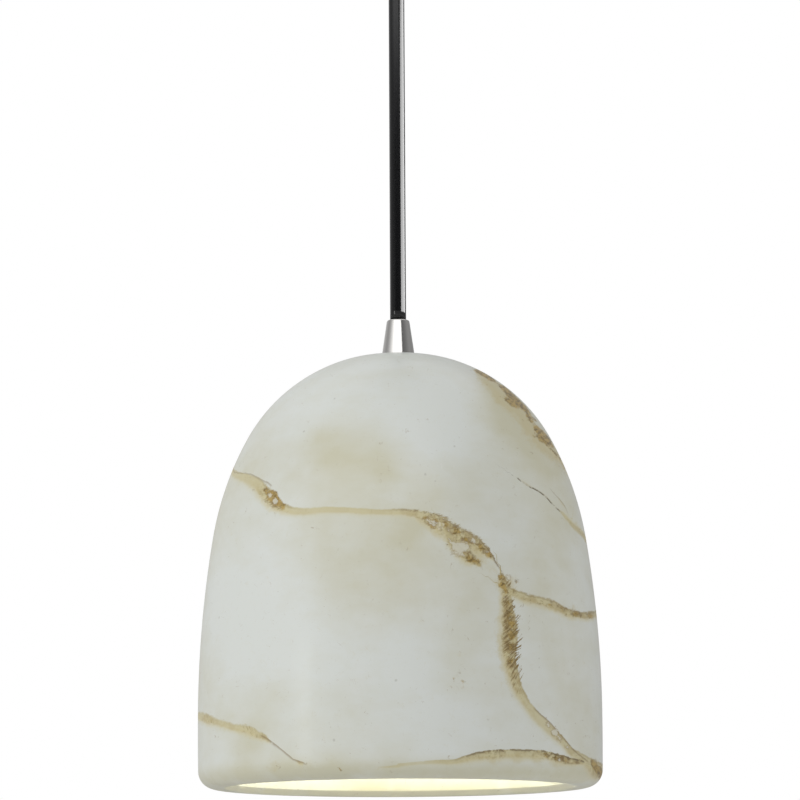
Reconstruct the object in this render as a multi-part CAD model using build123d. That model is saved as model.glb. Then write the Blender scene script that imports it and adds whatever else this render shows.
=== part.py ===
from build123d import *
import math
import os

# A bell pendant light: a turned marble bell on a round cord, hung from a ceiling canopy.
# Millimetres, +Z up. The origin is the middle of the ceiling plane, and the light hangs below it.

# Marble bell, outside, from the crown down: each arc turns the surface to the angle beside it
bell_r = 98.5  # greatest outer radius
bell_wall = 15.5
widest_drop = 176.5  # from the crown down to the greatest radius
crown_arc_r = 0.68 * bell_r
crown_turn = 22.0
shoulder_arc_r = 0.8375 * bell_r
shoulder_turn = 62.0
flank_arc_r = 1.584 * bell_r
flank_turn = 81.0
skirt_arc_r = 1500.0
skirt_length = 28.4
rim_outer_round = 8.2
rim_inner_round = 2.0
crown_hole_gap = 0.5  # round the nipple, per side
seat_spot_r = 17.0  # flat cut inside the crown

# Round cord and its three conductors
cord_d = 8.0
cord_free = 175.0  # from the ceiling grip's mouth to the cone's mouth
cord_hole_gap = 0.3  # per side, where the jacket passes a hole without being gripped
lead_d = 2.2
bare_d = 1.2
lead_circle_r = 1.4
lead_bend_r = 3.5
lead_tight_bend_r = 1.8  # under the bar and under the bracket
live_top_turn = 90.0  # round the axis, above the grip
neutral_top_turn = 210.0
earth_top_turn = 330.0
live_low_turn = 0.0  # below the cone
neutral_low_turn = 120.0
earth_low_turn = 240.0

# Canopy against the ceiling
canopy_d = 120.0
canopy_h = 25.0
canopy_sheet = 1.2
canopy_draft = 1.5  # the wall leans in by this much over its height
canopy_corner_r = 6.0

# Crossbar on the junction box
bar_end = 7.55  # from a box screw's middle to the bar's end
bar_width = 19.0
bar_t = 2.0
bar_corner_r = 4.75
box_screw_spacing = 88.9
box_slot_w = 4.8
box_slot_length = 12.0
canopy_screw_spacing = 66.0
stud_d = 4.1
stud_proud = 5.0  # below the canopy, inside the cap nut
cap_nut_d = 10.0
cap_nut_straight = 5.0
cap_nut_dome = 3.0
earth_screw_x = 19.0
earth_screw_d = 3.5
earth_head_d = 7.0
earth_head_h = 2.4
bracket_earth_head_d = 5.6
recess_share = 0.6  # of a cross-headed screw's head width

# Cord grip in the canopy
grip_stem_d = 12.0
grip_stem_rise = 8.0  # above the canopy's underside
grip_collar_d = 17.0
grip_collar_h = 5.0
grip_thread_d = 14.0
grip_thread_h = 5.5
grip_nut_h = 11.0
grip_nut_flats = 15.6
grip_flats_h = 5.0
grip_collet_d = 11.0
grip_collet_seat = 2.5  # the collet's top, below the canopy's underside
grip_nose_h = 1.8
grip_nose_step = 1.0  # the nose narrows by this much per side
grip_bell_r = 5.0
grip_bell_h = 3.5
grip_throat_h = 0.7  # straight, between the flare and the collet's nose
pivot_rise = 1.0  # the cord's swing pivot, above the grip's mouth
grip_slit_pairs = 3
grip_locknut_af = 17.0
grip_locknut_h = 4.0
grip_washer_d = 19.0
grip_washer_t = 0.8
grip_washer_teeth = 12
grip_washer_notch = 1.6
grip_jacket_rise = 3.0  # jacket standing out of the stem inside the canopy
wire_cap_d = 12.0
wire_cap_tip_d = 8.0
wire_cap_length = 22.0
wire_cap_straight = 7.0
wire_cap_bore = 14.0
wire_cap_start = 17.0

# Cone on top of the bell
cone_h = 19.0
cone_base_d = 17.0
cone_top_d = 11.3
cone_edge = 0.6
cone_thread_h = 9.0
cone_collet_h = 7.5
cone_collet_step = 0.65  # the collet narrows by this much per side
cone_collet_ring_h = 1.9  # unslit
cone_slit_pairs = 2
cone_washer_d = 14.8
cone_washer_t = 0.8

# Nipple and clamp under the crown
nipple_d = 9.7
nipple_bore = 6.5
gasket_d = 32.0
gasket_t = 2.0
clamp_d = 30.0
clamp_t = 1.6
locknut_af = 14.3
locknut_h = 4.0

# Socket
hub_d = 14.0
hub_h = 8.5
hub_drop = 1.0  # below the lock nut
strap_t = 1.5
strap_w = 12.0
wiring_space = 9.0
socket_d = 42.0
socket_skirt = 32.0
socket_depth = 29.5
socket_round = 1.5
neck_d = 27.0
neck_h = 11.0
neck_flat_x = 11.5
foot_screw_y = 18.2
foot_screw_d = 2.8
foot_head_d = 4.8
foot_head_h = 1.8
foot_screw_length = 9.0
set_screw_d = 3.8
set_screw_proud = 1.9
shell_t = 0.5
shell_up = 1.5  # above the socket's mouth
shell_hole_d = 16.0
terminal_t = 0.8
terminal_w = 7.0
terminal_screw_d = 3.4
terminal_head_d = 6.5
terminal_head_h = 2.2
terminal_screw_length = 6.0
terminal_screw_rise = 1.0  # above the middle of the neck
pocket_x = 9.0
pocket_w = 9.5
pocket_h = 4.5
leaf_t = 0.5
leaf_bend_r = 1.0
leaf_curl = 2.5  # the free end turns up by this much
leaf_rest_gap = 0.3

# Ring terminal of the earth conductor in the canopy
ring_d = 8.0
ring_t = 0.8
ring_reach = 5.0  # from the screw to the barrel's near end
ring_barrel_d = 4.0
ring_barrel_length = 5.5
ring_barrel_drop = 3.0

# Bulb with a screw cap
bulb_inset = 1.5  # the contact's face, below the socket's floor
bulb_tip_d = 9.5
bulb_tip_h = 1.2
bulb_tip_face_d = 6.6
bulb_cap_d = 26.0
bulb_cap_h = 25.5  # from the contact's face to the cap's lower edge
bulb_cap_t = 0.4
insulator_h = 3.3
insulator_d = 22.0
insulator_top_d = 10.5
globe_r = 30.0
globe_wall = 1.2
globe_joint_h = 12.0  # the joint, above the globe's middle
bulb_length = 108.5
housing_wall = 1.6
housing_neck_h = 3.0
board_t = 1.5
board_ledge = 2.2  # from the board's edge to the outside of the globe's joint
board_up = 2.0  # the board's lower face, above the globe's joint
led_side = 3.0
led_h = 0.8
led_count = 12
led_circle_r = 16.0
driver_w = 17.0
driver_h = 28.0
driver_t = 1.6
capacitor_d = 8.5
capacitor_h = 11.0
choke_w = 8.5
choke_t = 5.7
choke_h = 9.4

# Clearances
thread_gap = 0.1  # per side, between threads that are drawn smooth
swing_gap = 0.3  # per side, round what moves
slit_w = 0.8
slip_gap = 0.2  # per side, for washers and plates
shell_cap_gap = 0.8  # per side, between the bulb's cap and the shell, both drawn smooth
socket_shell_gap = 0.9  # per side, between the shell and the porcelain

# Sizes that follow from what fits together
bar_length = box_screw_spacing + 2 * bar_end
shell_d = bulb_cap_d + 2 * (shell_cap_gap + shell_t)
socket_bore_d = shell_d + 2 * socket_shell_gap
globe_joint_r = math.sqrt(globe_r**2 - globe_joint_h**2)
board_d = 2 * (globe_joint_r - board_ledge)

# Places along Z
canopy_floor_z = -canopy_h
canopy_inside_z = canopy_floor_z + canopy_sheet
collar_low_z = canopy_floor_z - grip_collar_h
thread_low_z = collar_low_z - grip_thread_h
grip_mouth_z = collar_low_z - grip_nut_h
pivot_z = grip_mouth_z + pivot_rise
stem_top_z = canopy_floor_z + grip_stem_rise
wire_cap_z = -bar_t - wire_cap_d / 2
jacket_top_z = stem_top_z + grip_jacket_rise
stub_low_z = pivot_z + cord_d / 2 + swing_gap
bell_hole_top_z = grip_mouth_z + grip_bell_h
nose_low_z = bell_hole_top_z + grip_throat_h
nose_top_z = nose_low_z + grip_nose_h
collet_top_z = canopy_floor_z - grip_collet_seat

cone_mouth_z = grip_mouth_z - cord_free
crown_z = cone_mouth_z - cone_h
nipple_top_z = crown_z + cone_thread_h
crown_seat_z = crown_z - bell_wall
gasket_low_z = crown_seat_z - gasket_t
clamp_low_z = gasket_low_z - clamp_t
locknut_low_z = clamp_low_z - locknut_h
hub_top_z = locknut_low_z - hub_drop
hub_low_z = hub_top_z - hub_h
bridge_top_z = hub_low_z + strap_t
set_screw_z = (hub_top_z + bridge_top_z) / 2
neck_top_z = hub_low_z - wiring_space
shoulder_z = neck_top_z - neck_h
foot_top_z = shoulder_z + strap_t
socket_mouth_z = shoulder_z - socket_skirt
socket_floor_z = socket_mouth_z + socket_depth
pocket_top_z = socket_floor_z + pocket_h
tongue_low_z = pocket_top_z - terminal_t
plate_top_z = neck_top_z - terminal_t
terminal_screw_z = (neck_top_z + shoulder_z) / 2 + terminal_screw_rise
tip_z = socket_floor_z - bulb_inset
cap_low_z = tip_z - bulb_cap_h
globe_mid_z = tip_z - bulb_length + globe_r
globe_joint_z = globe_mid_z + globe_joint_h
board_low_z = globe_joint_z + board_up

base = (Align.CENTER, Align.CENTER, Align.MIN)


def rod(d, low_z, high_z, x=0.0, y=0.0):
    """Upright round bar."""
    return Pos(x, y, low_z) * Cylinder(d / 2, high_z - low_z, align=base)


def tube(d, bore_d, low_z, high_z):
    """Upright round tube on the axis."""
    return rod(d, low_z, high_z) - rod(bore_d, low_z, high_z)


def taper(low_d, high_d, low_z, high_z):
    """Upright cone frustum on the axis."""
    return Pos(0, 0, low_z) * Cone(low_d / 2, high_d / 2, high_z - low_z, align=base)


def box_between(x, y, z):
    """Box from pairs of limits along each axis."""
    middle = [(a + b) / 2 for a, b in (x, y, z)]
    return Pos(*middle) * Box(x[1] - x[0], y[1] - y[0], z[1] - z[0])


def hex_nut(across_flats, bore_d, low_z, high_z):
    """Hexagon nut with a plain bore."""
    outline = RegularPolygon(across_flats / 2, 6, major_radius=False)
    body = extrude(Plane.XY.offset(low_z) * outline, amount=high_z - low_z)
    return body - rod(bore_d, low_z, high_z)


def turned(edges):
    """Solid of revolution about Z from a closed outline drawn as (radius, height)."""
    return revolve(Plane.XZ * make_face(edges), Axis.Z)


def slit(solid, low_z, high_z, reach, pairs):
    """Cuts pairs of opposite slits that run in from the side."""
    for turn in range(pairs):
        blade = box_between((-reach, reach), (-slit_w / 2, slit_w / 2), (low_z, high_z))
        solid -= Rot(0, 0, 180.0 / pairs * turn) * blade
    return solid


def twice(solid):
    """The solid and its copy half a turn round the axis."""
    return Compound(children=[solid, Rot(0, 0, 180) * solid])


def wire(points, radii, d):
    """Round wire along straight runs joined by arcs."""
    path = FilletPolyline(*points, radius=radii)
    start = Plane(origin=path @ 0, z_dir=path % 0)
    return sweep(start * Circle(d / 2), path=path)


# Marble bell
def bell_arcs(inset):
    """The bell's outline from the crown's flat down to the rim's rounding, moved in by inset.

    Gives the arcs and the angle that their normal has turned to at the lower end.
    """
    turns = [0.0, crown_turn, shoulder_turn, flank_turn, 90.0]
    radii = [crown_arc_r, shoulder_arc_r, flank_arc_r]
    drop = sum(
        r * (cos_deg(a) - cos_deg(b)) for r, a, b in zip(radii, turns, turns[1:])
    )
    radii.append((widest_drop - drop) / cos_deg(flank_turn))
    reach = sum(
        r * (sin_deg(b) - sin_deg(a)) for r, a, b in zip(radii, turns, turns[1:])
    )
    centre = (bell_r - reach, crown_z - crown_arc_r)
    edges = []
    for i, r in enumerate(radii):
        if i > 0:
            step = radii[i - 1] - r
            centre = (
                centre[0] + step * sin_deg(turns[i]),
                centre[1] + step * cos_deg(turns[i]),
            )
        arc = CenterArc(centre, r - inset, 90 - turns[i], turns[i] - turns[i + 1])
        edges.append(arc)
    centre = (centre[0] + radii[-1] - skirt_arc_r, centre[1])
    skirt_turn = math.degrees(skirt_length / skirt_arc_r)
    edges.append(CenterArc(centre, skirt_arc_r - inset, 0, -skirt_turn))
    return edges, 90.0 + skirt_turn


def cos_deg(angle):
    return math.cos(math.radians(angle))


def sin_deg(angle):
    return math.sin(math.radians(angle))


def shade():
    """Marble bell of even wall with a bored crown, a flat seat inside it and a rounded rim."""
    outer, turn = bell_arcs(0.0)
    inner, _ = bell_arcs(bell_wall)
    outer_end = outer[-1] @ 1
    inner_end = inner[-1] @ 1
    round_mid = (
        outer_end.X - rim_outer_round * sin_deg(turn),
        outer_end.Y - rim_outer_round * cos_deg(turn),
    )
    rim_z = round_mid[1] - rim_outer_round
    outer_round = CenterArc(round_mid, rim_outer_round, 90 - turn, turn - 180)
    inner_x = inner_end.X
    inner_mid = (inner_x + rim_inner_round, rim_z + rim_inner_round)
    inner_round = CenterArc(inner_mid, rim_inner_round, 270, -90)
    rim_flat = Line((round_mid[0], rim_z), (inner_mid[0], rim_z))
    mouth_wall = Line((inner_x, inner_mid[1]), (inner_x, inner_end.Y))
    hole_r = nipple_d / 2 + crown_hole_gap
    outer_start = outer[0] @ 0
    inner_start = inner[0] @ 0
    crown_top = Line((hole_r, crown_z), (outer_start.X, crown_z))
    hole = Line((hole_r, crown_z), (hole_r, crown_seat_z))
    crown_under = Line((hole_r, crown_seat_z), (inner_start.X, crown_seat_z))
    rim = [outer_round, rim_flat, inner_round, mouth_wall]
    bell = turned(outer + inner + rim + [crown_top, hole, crown_under])
    return bell - rod(2 * seat_spot_r, crown_seat_z - seat_spot_r, crown_seat_z)


# Ceiling fitting
def canopy():
    """Spun steel cup with a leaning wall, a rounded corner and three holes."""
    rim_r = canopy_d / 2
    foot_r = rim_r - canopy_draft
    inner_corner = canopy_corner_r - canopy_sheet
    hole_r = grip_stem_d / 2 + slip_gap
    outside = FilletPolyline(
        (rim_r, 0), (foot_r, canopy_floor_z), (hole_r, canopy_floor_z), radius=canopy_corner_r
    )
    inside = FilletPolyline(
        (rim_r - canopy_sheet, 0),
        (foot_r - canopy_sheet, canopy_inside_z),
        (hole_r, canopy_inside_z),
        radius=inner_corner,
    )
    rim = Line((rim_r, 0), (rim_r - canopy_sheet, 0))
    edge = Line((hole_r, canopy_floor_z), (hole_r, canopy_inside_z))
    cup = turned([outside, inside, rim, edge])
    for side in (-1, 1):
        x = side * canopy_screw_spacing / 2
        cup -= rod(stud_d + 2 * slip_gap, canopy_floor_z, canopy_inside_z, x)
    return cup


def crossbar():
    """Flat steel bar with slots for the box screws and threaded holes."""
    outline = RectangleRounded(bar_length, bar_width, bar_corner_r)
    bar = extrude(Plane.XY * outline, amount=-bar_t)
    slot_shape = SlotOverall(box_slot_length, box_slot_w)
    for side in (-1, 1):
        slot = extrude(Pos(side * box_screw_spacing / 2, 0) * slot_shape, amount=-bar_t)
        bar -= slot
        x = side * canopy_screw_spacing / 2
        bar -= rod(stud_d + 2 * thread_gap, -bar_t, 0, x)
    bar -= rod(earth_screw_d + 2 * thread_gap, -bar_t, 0, earth_screw_x)
    return bar - rod(nipple_d + 2 * thread_gap, -bar_t, 0)


def canopy_studs():
    """Two long screws from the bar down through the canopy."""
    x = canopy_screw_spacing / 2
    return twice(rod(stud_d, canopy_floor_z - stud_proud, -slip_gap, x))


def canopy_cap_nuts():
    """Two domed nuts that hold the canopy up."""
    r = cap_nut_d / 2
    low_z = canopy_floor_z - cap_nut_straight
    dome_r = (r**2 + cap_nut_dome**2) / (2 * cap_nut_dome)
    ball = Pos(0, 0, low_z - cap_nut_dome + dome_r) * Sphere(dome_r)
    domed = ball + rod(cap_nut_d, low_z, canopy_floor_z)
    nut = rod(cap_nut_d, low_z - cap_nut_dome, canopy_floor_z) & domed
    bore_z = canopy_floor_z - stud_proud - slip_gap
    nut -= rod(stud_d + 2 * thread_gap, bore_z, canopy_floor_z)
    return twice(Pos(canopy_screw_spacing / 2, 0, 0) * nut)


def head_screw(head_d, head_h, d, seat_z, end_z):
    """Upright screw with its head below seat_z and a cross recess in it."""
    screw = rod(head_d, seat_z - head_h, seat_z) + rod(d, seat_z, end_z)
    recess_h = head_h / 2
    for turn in (0, 90):
        arm = Rot(0, 0, turn) * Box(head_d * recess_share, slit_w, recess_h, align=base)
        screw -= Pos(0, 0, seat_z - head_h) * arm
    return screw


def earth_screw():
    """Screw that clamps the earth ring under the bar."""
    seat_z = -bar_t - ring_t
    return Pos(earth_screw_x, 0, 0) * head_screw(
        earth_head_d, earth_head_h, earth_screw_d, seat_z, -slip_gap
    )


def earth_ring_top():
    """Ring under the earth screw, with a bent neck and a crimped barrel towards the cord."""
    low_z = -bar_t - ring_t
    barrel_z = -bar_t - ring_barrel_drop
    half_w = ring_barrel_d / 2
    bend_x = -ring_reach - ring_t
    plate = rod(ring_d, low_z, -bar_t)
    plate += box_between((bend_x, 0), (-half_w, half_w), (low_z, -bar_t))
    neck = box_between((bend_x, -ring_reach), (-half_w, half_w), (barrel_z, -bar_t))
    barrel = Rot(0, -90, 0) * tube(ring_barrel_d, lead_d + 2 * slip_gap, 0, ring_barrel_length)
    barrel = Pos(-ring_reach, 0, barrel_z) * barrel
    hole = rod(earth_screw_d + 2 * slip_gap, low_z, -bar_t)
    return Pos(earth_screw_x, 0, 0) * (plate + neck + barrel - hole)


def lead_start(turn, z):
    """Where the conductor at this turn leaves the jacket."""
    return (lead_circle_r * cos_deg(turn), lead_circle_r * sin_deg(turn), z)


def top_leads():
    """The two live conductors inside the canopy, each into its wire cap, and the earth conductor."""
    cap_end_y = wire_cap_start + wire_cap_bore
    leads = []
    for side, turn in ((1, live_top_turn), (-1, neutral_top_turn)):
        start = lead_start(turn, jacket_top_z)
        turn_up = (start[0], start[1], wire_cap_z)
        end = (start[0], side * cap_end_y, wire_cap_z)
        leads.append(wire([start, turn_up, end], [lead_bend_r], lead_d))
    start = lead_start(earth_top_turn, jacket_top_z)
    barrel_z = -bar_t - ring_barrel_drop
    end_x = earth_screw_x - ring_reach - ring_t
    turn_up = (start[0], start[1], barrel_z)
    step = (start[0] + 2 * lead_d, 0, barrel_z)
    end = (end_x, 0, barrel_z)
    bends = [lead_tight_bend_r, lead_tight_bend_r]
    leads.append(wire([start, turn_up, step, end], bends, lead_d))
    return leads


def wire_cap(side):
    """Tapered connector twisted over a conductor's end, lying along Y."""
    r = wire_cap_d / 2
    bore_r = lead_d / 2 + slip_gap
    shape = turned(
        [
            Polyline(
                (bore_r, 0),
                (r, 0),
                (r, wire_cap_straight),
                (wire_cap_tip_d / 2, wire_cap_length),
                (0, wire_cap_length),
                (0, wire_cap_bore),
                (bore_r, wire_cap_bore),
                (bore_r, 0),
            )
        ]
    )
    turn = live_top_turn if side > 0 else neutral_top_turn
    x = lead_start(turn, 0)[0]
    return Pos(x, side * wire_cap_start, wire_cap_z) * Rot(-90 * side, 0, 0) * shape


# Cord grip in the canopy
def nose_r(z):
    """Radius of the collet's nose at a height."""
    share = (nose_top_z - z) / grip_nose_h
    return grip_collet_d / 2 - grip_nose_step * share


def grip_body():
    """Threaded stem, collar and collet seat in one turned piece."""
    stem_r = grip_stem_d / 2
    bore_r = cord_d / 2 + cord_hole_gap
    seat_r = grip_collet_d / 2 + thread_gap
    return turned(
        [
            Polyline(
                (bore_r, stem_top_z),
                (stem_r, stem_top_z),
                (stem_r, canopy_floor_z),
                (grip_collar_d / 2, canopy_floor_z),
                (grip_collar_d / 2, collar_low_z),
                (grip_thread_d / 2, collar_low_z),
                (grip_thread_d / 2, thread_low_z),
                (seat_r, thread_low_z),
                (seat_r, collet_top_z),
                (bore_r, collet_top_z),
                (bore_r, stem_top_z),
            )
        ]
    )


def grip_collet():
    """Slit plastic sleeve with a tapered nose that closes on the cord."""
    sleeve = rod(grip_collet_d, nose_top_z, collet_top_z)
    nose = taper(grip_collet_d - 2 * grip_nose_step, grip_collet_d, nose_low_z, nose_top_z)
    collet = sleeve + nose - rod(cord_d, nose_low_z, collet_top_z)
    return slit(collet, nose_low_z, collar_low_z, grip_collet_d, grip_slit_pairs)


def grip_nut():
    """Compression nut with wrench flats and a flared mouth that lets the cord swing."""
    r = grip_collar_d / 2
    thread_r = grip_thread_d / 2 + thread_gap
    hole_r = cord_d / 2 + swing_gap
    top_z = collar_low_z - slip_gap
    step_z = thread_low_z - slip_gap
    drop = math.degrees(math.asin(grip_bell_h / grip_bell_r))
    flare = CenterArc((hole_r + grip_bell_r, bell_hole_top_z), grip_bell_r, 180, drop)
    mouth_r = (flare @ 1).X
    walls = Polyline(
        (hole_r, bell_hole_top_z),
        (hole_r, nose_low_z),
        (nose_r(nose_low_z), nose_low_z),
        (nose_r(step_z), step_z),
        (thread_r, step_z),
        (thread_r, top_z),
        (r, top_z),
        (r, grip_mouth_z),
        (mouth_r, grip_mouth_z),
    )
    nut = turned([flare, walls])
    for side in (-1, 1):
        near = side * grip_nut_flats / 2
        limits = (min(near, side * r), max(near, side * r))
        nut -= box_between((-r, r), limits, (grip_mouth_z, grip_mouth_z + grip_flats_h))
    return nut


def grip_locknut():
    low_z = canopy_inside_z + grip_washer_t
    bore = grip_stem_d + 2 * thread_gap
    return hex_nut(grip_locknut_af, bore, low_z, low_z + grip_locknut_h)


def grip_washer():
    """Toothed lock washer under the nut."""
    bore = grip_stem_d + 2 * slip_gap
    washer = tube(grip_washer_d, bore, canopy_inside_z, canopy_inside_z + grip_washer_t)
    notch = Box(grip_washer_notch, grip_washer_notch, 3 * grip_washer_t)
    for place in PolarLocations(grip_washer_d / 2, grip_washer_teeth):
        washer -= Pos(0, 0, canopy_inside_z) * place * notch
    return washer


# Cord
def cord():
    """The taut free stretch, with a round end about the swing pivot and a flat end in the cone."""
    return rod(cord_d, cone_mouth_z, pivot_z) + Pos(0, 0, pivot_z) * Sphere(cord_d / 2)


def cord_top_end():
    """Jacketed end held in the ceiling grip."""
    return rod(cord_d, stub_low_z, jacket_top_z)


def cord_low_end():
    """Jacketed end held in the cone, down to the nipple."""
    return rod(cord_d, nipple_top_z, cone_mouth_z)


# Cone, nipple and clamp
def cone_collet_r(z):
    """Outer radius of the cone's collet at a height."""
    share = (z - nipple_top_z) / cone_collet_h
    return nipple_d / 2 - cone_collet_step * share


def cord_cone():
    """Slim metal cone, threaded inside onto the nipple, with a taper that closes the collet."""
    thread_r = nipple_d / 2 + thread_gap
    collet_high_z = nipple_top_z + cone_collet_h
    mouth_r = cord_d / 2 + cord_hole_gap
    washer_r = cone_washer_d / 2
    top_r = cone_top_d / 2
    walls = Polyline(
        (thread_r, crown_z + cone_washer_t),
        (thread_r, nipple_top_z),
        (cone_collet_r(nipple_top_z), nipple_top_z),
        (cone_collet_r(collet_high_z), collet_high_z),
        (mouth_r, collet_high_z),
        (mouth_r, cone_mouth_z),
        (top_r, cone_mouth_z),
        (cone_base_d / 2, crown_z),
        (washer_r, crown_z),
        (washer_r, crown_z + cone_washer_t),
        (thread_r, crown_z + cone_washer_t),
    )
    cone = turned([walls])
    top_edges = cone.edges().filter_by(GeomType.CIRCLE).group_by(Axis.Z)[-1]
    return fillet(top_edges.sort_by(SortBy.RADIUS)[-1], cone_edge)


def cone_collet():
    """Slit sleeve that the cone's taper closes on the cord."""
    high_z = nipple_top_z + cone_collet_h
    collet = taper(nipple_d, nipple_d - 2 * cone_collet_step, nipple_top_z, high_z)
    collet -= rod(cord_d, nipple_top_z, high_z)
    return slit(collet, nipple_top_z + cone_collet_ring_h, high_z, nipple_d, cone_slit_pairs)


def cone_washer():
    """Soft washer let into the cone's foot, so that metal doesn't press on marble."""
    bore = nipple_d + 2 * slip_gap
    return tube(cone_washer_d - 2 * slip_gap, bore, crown_z, crown_z + cone_washer_t)


def nipple():
    """Hollow threaded rod that carries the bell and the socket."""
    return tube(nipple_d, nipple_bore, hub_low_z, nipple_top_z)


def bell_gasket():
    return tube(gasket_d, nipple_d + 2 * slip_gap, gasket_low_z, crown_seat_z)


def clamp_washer():
    return tube(clamp_d, nipple_d + 2 * slip_gap, clamp_low_z, gasket_low_z)


def bell_locknut():
    return hex_nut(locknut_af, nipple_d + 2 * thread_gap, locknut_low_z, clamp_low_z)


# Socket
def socket_bracket():
    """Threaded hub on a bent strap whose feet stand on the socket's shoulder."""
    leg_y = neck_d / 2 + slip_gap
    half = strap_w / 2
    foot_r = socket_d / 2 - slip_gap * 2
    bridge_y = leg_y + strap_t
    strap = box_between((-half, half), (-bridge_y, bridge_y), (hub_low_z, bridge_top_z))
    for side in (-1, 1):
        legs = sorted((side * leg_y, side * (leg_y + strap_t)))
        strap += box_between((-half, half), legs, (shoulder_z, bridge_top_z))
        feet = sorted((side * leg_y, side * foot_r))
        strap += box_between((-half, half), feet, (shoulder_z, foot_top_z))
        strap -= rod(foot_screw_d + 2 * slip_gap, shoulder_z, foot_top_z, 0, side * foot_screw_y)
    strap &= rod(2 * foot_r, shoulder_z, hub_top_z)
    bracket = strap + rod(hub_d, hub_low_z, hub_top_z)
    bracket -= rod(nipple_d + 2 * thread_gap, hub_low_z, hub_top_z)
    bracket -= set_screw_bar(set_screw_d + 2 * thread_gap, 0.0)
    hole_d = earth_screw_d + 2 * thread_gap
    return bracket - rod(hole_d, hub_low_z, bridge_top_z, 0, -bracket_earth_y())


def bracket_earth_y():
    """How far the bracket's earth screw stands from the hub's middle."""
    return (hub_d / 2 + neck_d / 2 + slip_gap) / 2 + slip_gap


def set_screw_bar(d, proud):
    """Bar from the nipple's side out through the hub's wall along +X."""
    start_x = nipple_d / 2
    length = hub_d / 2 - start_x + proud
    return Pos(start_x, 0, set_screw_z) * Rot(0, 90, 0) * Cylinder(d / 2, length, align=base)


def hub_set_screw():
    """Slotted set screw that stops the hub turning on the nipple."""
    middle = Pos(hub_d / 2 + set_screw_proud, 0, set_screw_z)
    slot = Box(set_screw_proud, slit_w, set_screw_d)
    return set_screw_bar(set_screw_d, set_screw_proud) - middle * slot


def bracket_screws():
    """Two screws through the bracket's feet into the porcelain."""
    screw = rod(foot_head_d, foot_top_z, foot_top_z + foot_head_h)
    screw += rod(foot_screw_d, foot_top_z - foot_screw_length, foot_top_z)
    slot = Pos(0, 0, foot_top_z + foot_head_h) * Box(foot_head_d, slit_w, foot_head_h)
    return twice(Pos(0, foot_screw_y, 0) * (screw - slot))


def bracket_earth_screw():
    """Screw that clamps the bare end of the earth conductor under the bracket."""
    seat_z = hub_low_z - bare_d
    return Pos(0, -bracket_earth_y(), 0) * head_screw(
        bracket_earth_head_d, earth_head_h, earth_screw_d, seat_z, bridge_top_z
    )


def socket_body():
    """Porcelain socket: a deep bore below, a neck with two flats above, and a contact pocket."""
    body = rod(socket_d, socket_mouth_z, shoulder_z)
    lip = body.edges().filter_by(GeomType.CIRCLE).group_by(Axis.Z)[0]
    body = fillet(lip, socket_round)
    neck = rod(neck_d, shoulder_z, neck_top_z)
    for side in (-1, 1):
        limits = sorted((side * neck_flat_x, side * neck_d))
        neck -= box_between(limits, (-neck_d, neck_d), (shoulder_z, neck_top_z))
    body += neck
    body -= rod(socket_bore_d, socket_mouth_z, socket_floor_z)
    half_w = pocket_w / 2
    body -= box_between((-pocket_x, pocket_x), (-half_w, half_w), (socket_floor_z, pocket_top_z))
    half_t = terminal_w / 2 + slip_gap
    tongue_room_z = tongue_low_z - slip_gap
    body -= box_between((0, neck_flat_x), (-half_t, half_t), (tongue_room_z, pocket_top_z))
    slit_x = (-neck_flat_x - terminal_t - slip_gap, -neck_flat_x)
    body -= box_between(slit_x, (-half_t, half_t), (socket_floor_z, shoulder_z))
    for side in (-1, 1):
        body -= terminal_bar(side, terminal_screw_d + 2 * thread_gap, 0.0)
        low_z = foot_top_z - foot_screw_length - slip_gap
        body -= rod(foot_screw_d + 2 * thread_gap, low_z, shoulder_z, 0, side * foot_screw_y)
    return body


def terminal_bar(side, d, proud):
    """Bar along X where a terminal screw lies in the neck, standing proud of its flat."""
    start_x = neck_flat_x - terminal_screw_length
    bar = Cylinder(d / 2, terminal_screw_length + proud, align=base)
    return Pos(side * start_x, 0, terminal_screw_z) * Rot(0, 90 * side, 0) * bar


def terminal_screws():
    """Two screws that clamp the bare conductors on the terminals."""
    screws = []
    for side in (-1, 1):
        proud = terminal_t + bare_d
        head = Cylinder(terminal_head_d / 2, terminal_head_h, align=base)
        slot = Box(slit_w, terminal_head_d, terminal_head_h / 2, align=base)
        head -= Pos(0, 0, terminal_head_h / 2) * slot
        head = Pos(side * (neck_flat_x + proud), 0, terminal_screw_z) * Rot(0, 90 * side, 0) * head
        screws.append(terminal_bar(side, terminal_screw_d, proud) + head)
    return Compound(children=screws)


def live_terminal():
    """Brass angle: a plate on the neck's flat and a tongue that runs in over the contact pocket."""
    half = terminal_w / 2
    plate_x = (neck_flat_x, neck_flat_x + terminal_t)
    plate = box_between(plate_x, (-half, half), (tongue_low_z, plate_top_z))
    tongue = box_between((0, neck_flat_x), (-half, half), (tongue_low_z, pocket_top_z))
    return plate + tongue - terminal_bar(1, terminal_screw_d + 2 * slip_gap, terminal_t)


def neutral_terminal():
    """Brass plate from the neck's flat down through the shoulder to the screw shell."""
    half = terminal_w / 2
    plate_x = (-neck_flat_x - terminal_t, -neck_flat_x)
    plate = box_between(plate_x, (-half, half), (socket_floor_z, plate_top_z))
    return plate - terminal_bar(-1, terminal_screw_d + 2 * slip_gap, terminal_t)


def centre_contact():
    """Bent leaf spring that presses on the bulb's contact."""
    held_z = tongue_low_z - leaf_t / 2
    rest_z = tip_z + leaf_rest_gap + leaf_t / 2
    line = FilletPolyline(
        (pocket_x - slip_gap, held_z),
        (pocket_x / 2, held_z),
        (0, rest_z),
        (-pocket_x / 2, rest_z + leaf_curl),
        radius=leaf_bend_r,
    )
    strip = Plane.XZ * trace(line, leaf_t)
    return extrude(strip, amount=terminal_w / 2, both=True)


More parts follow.
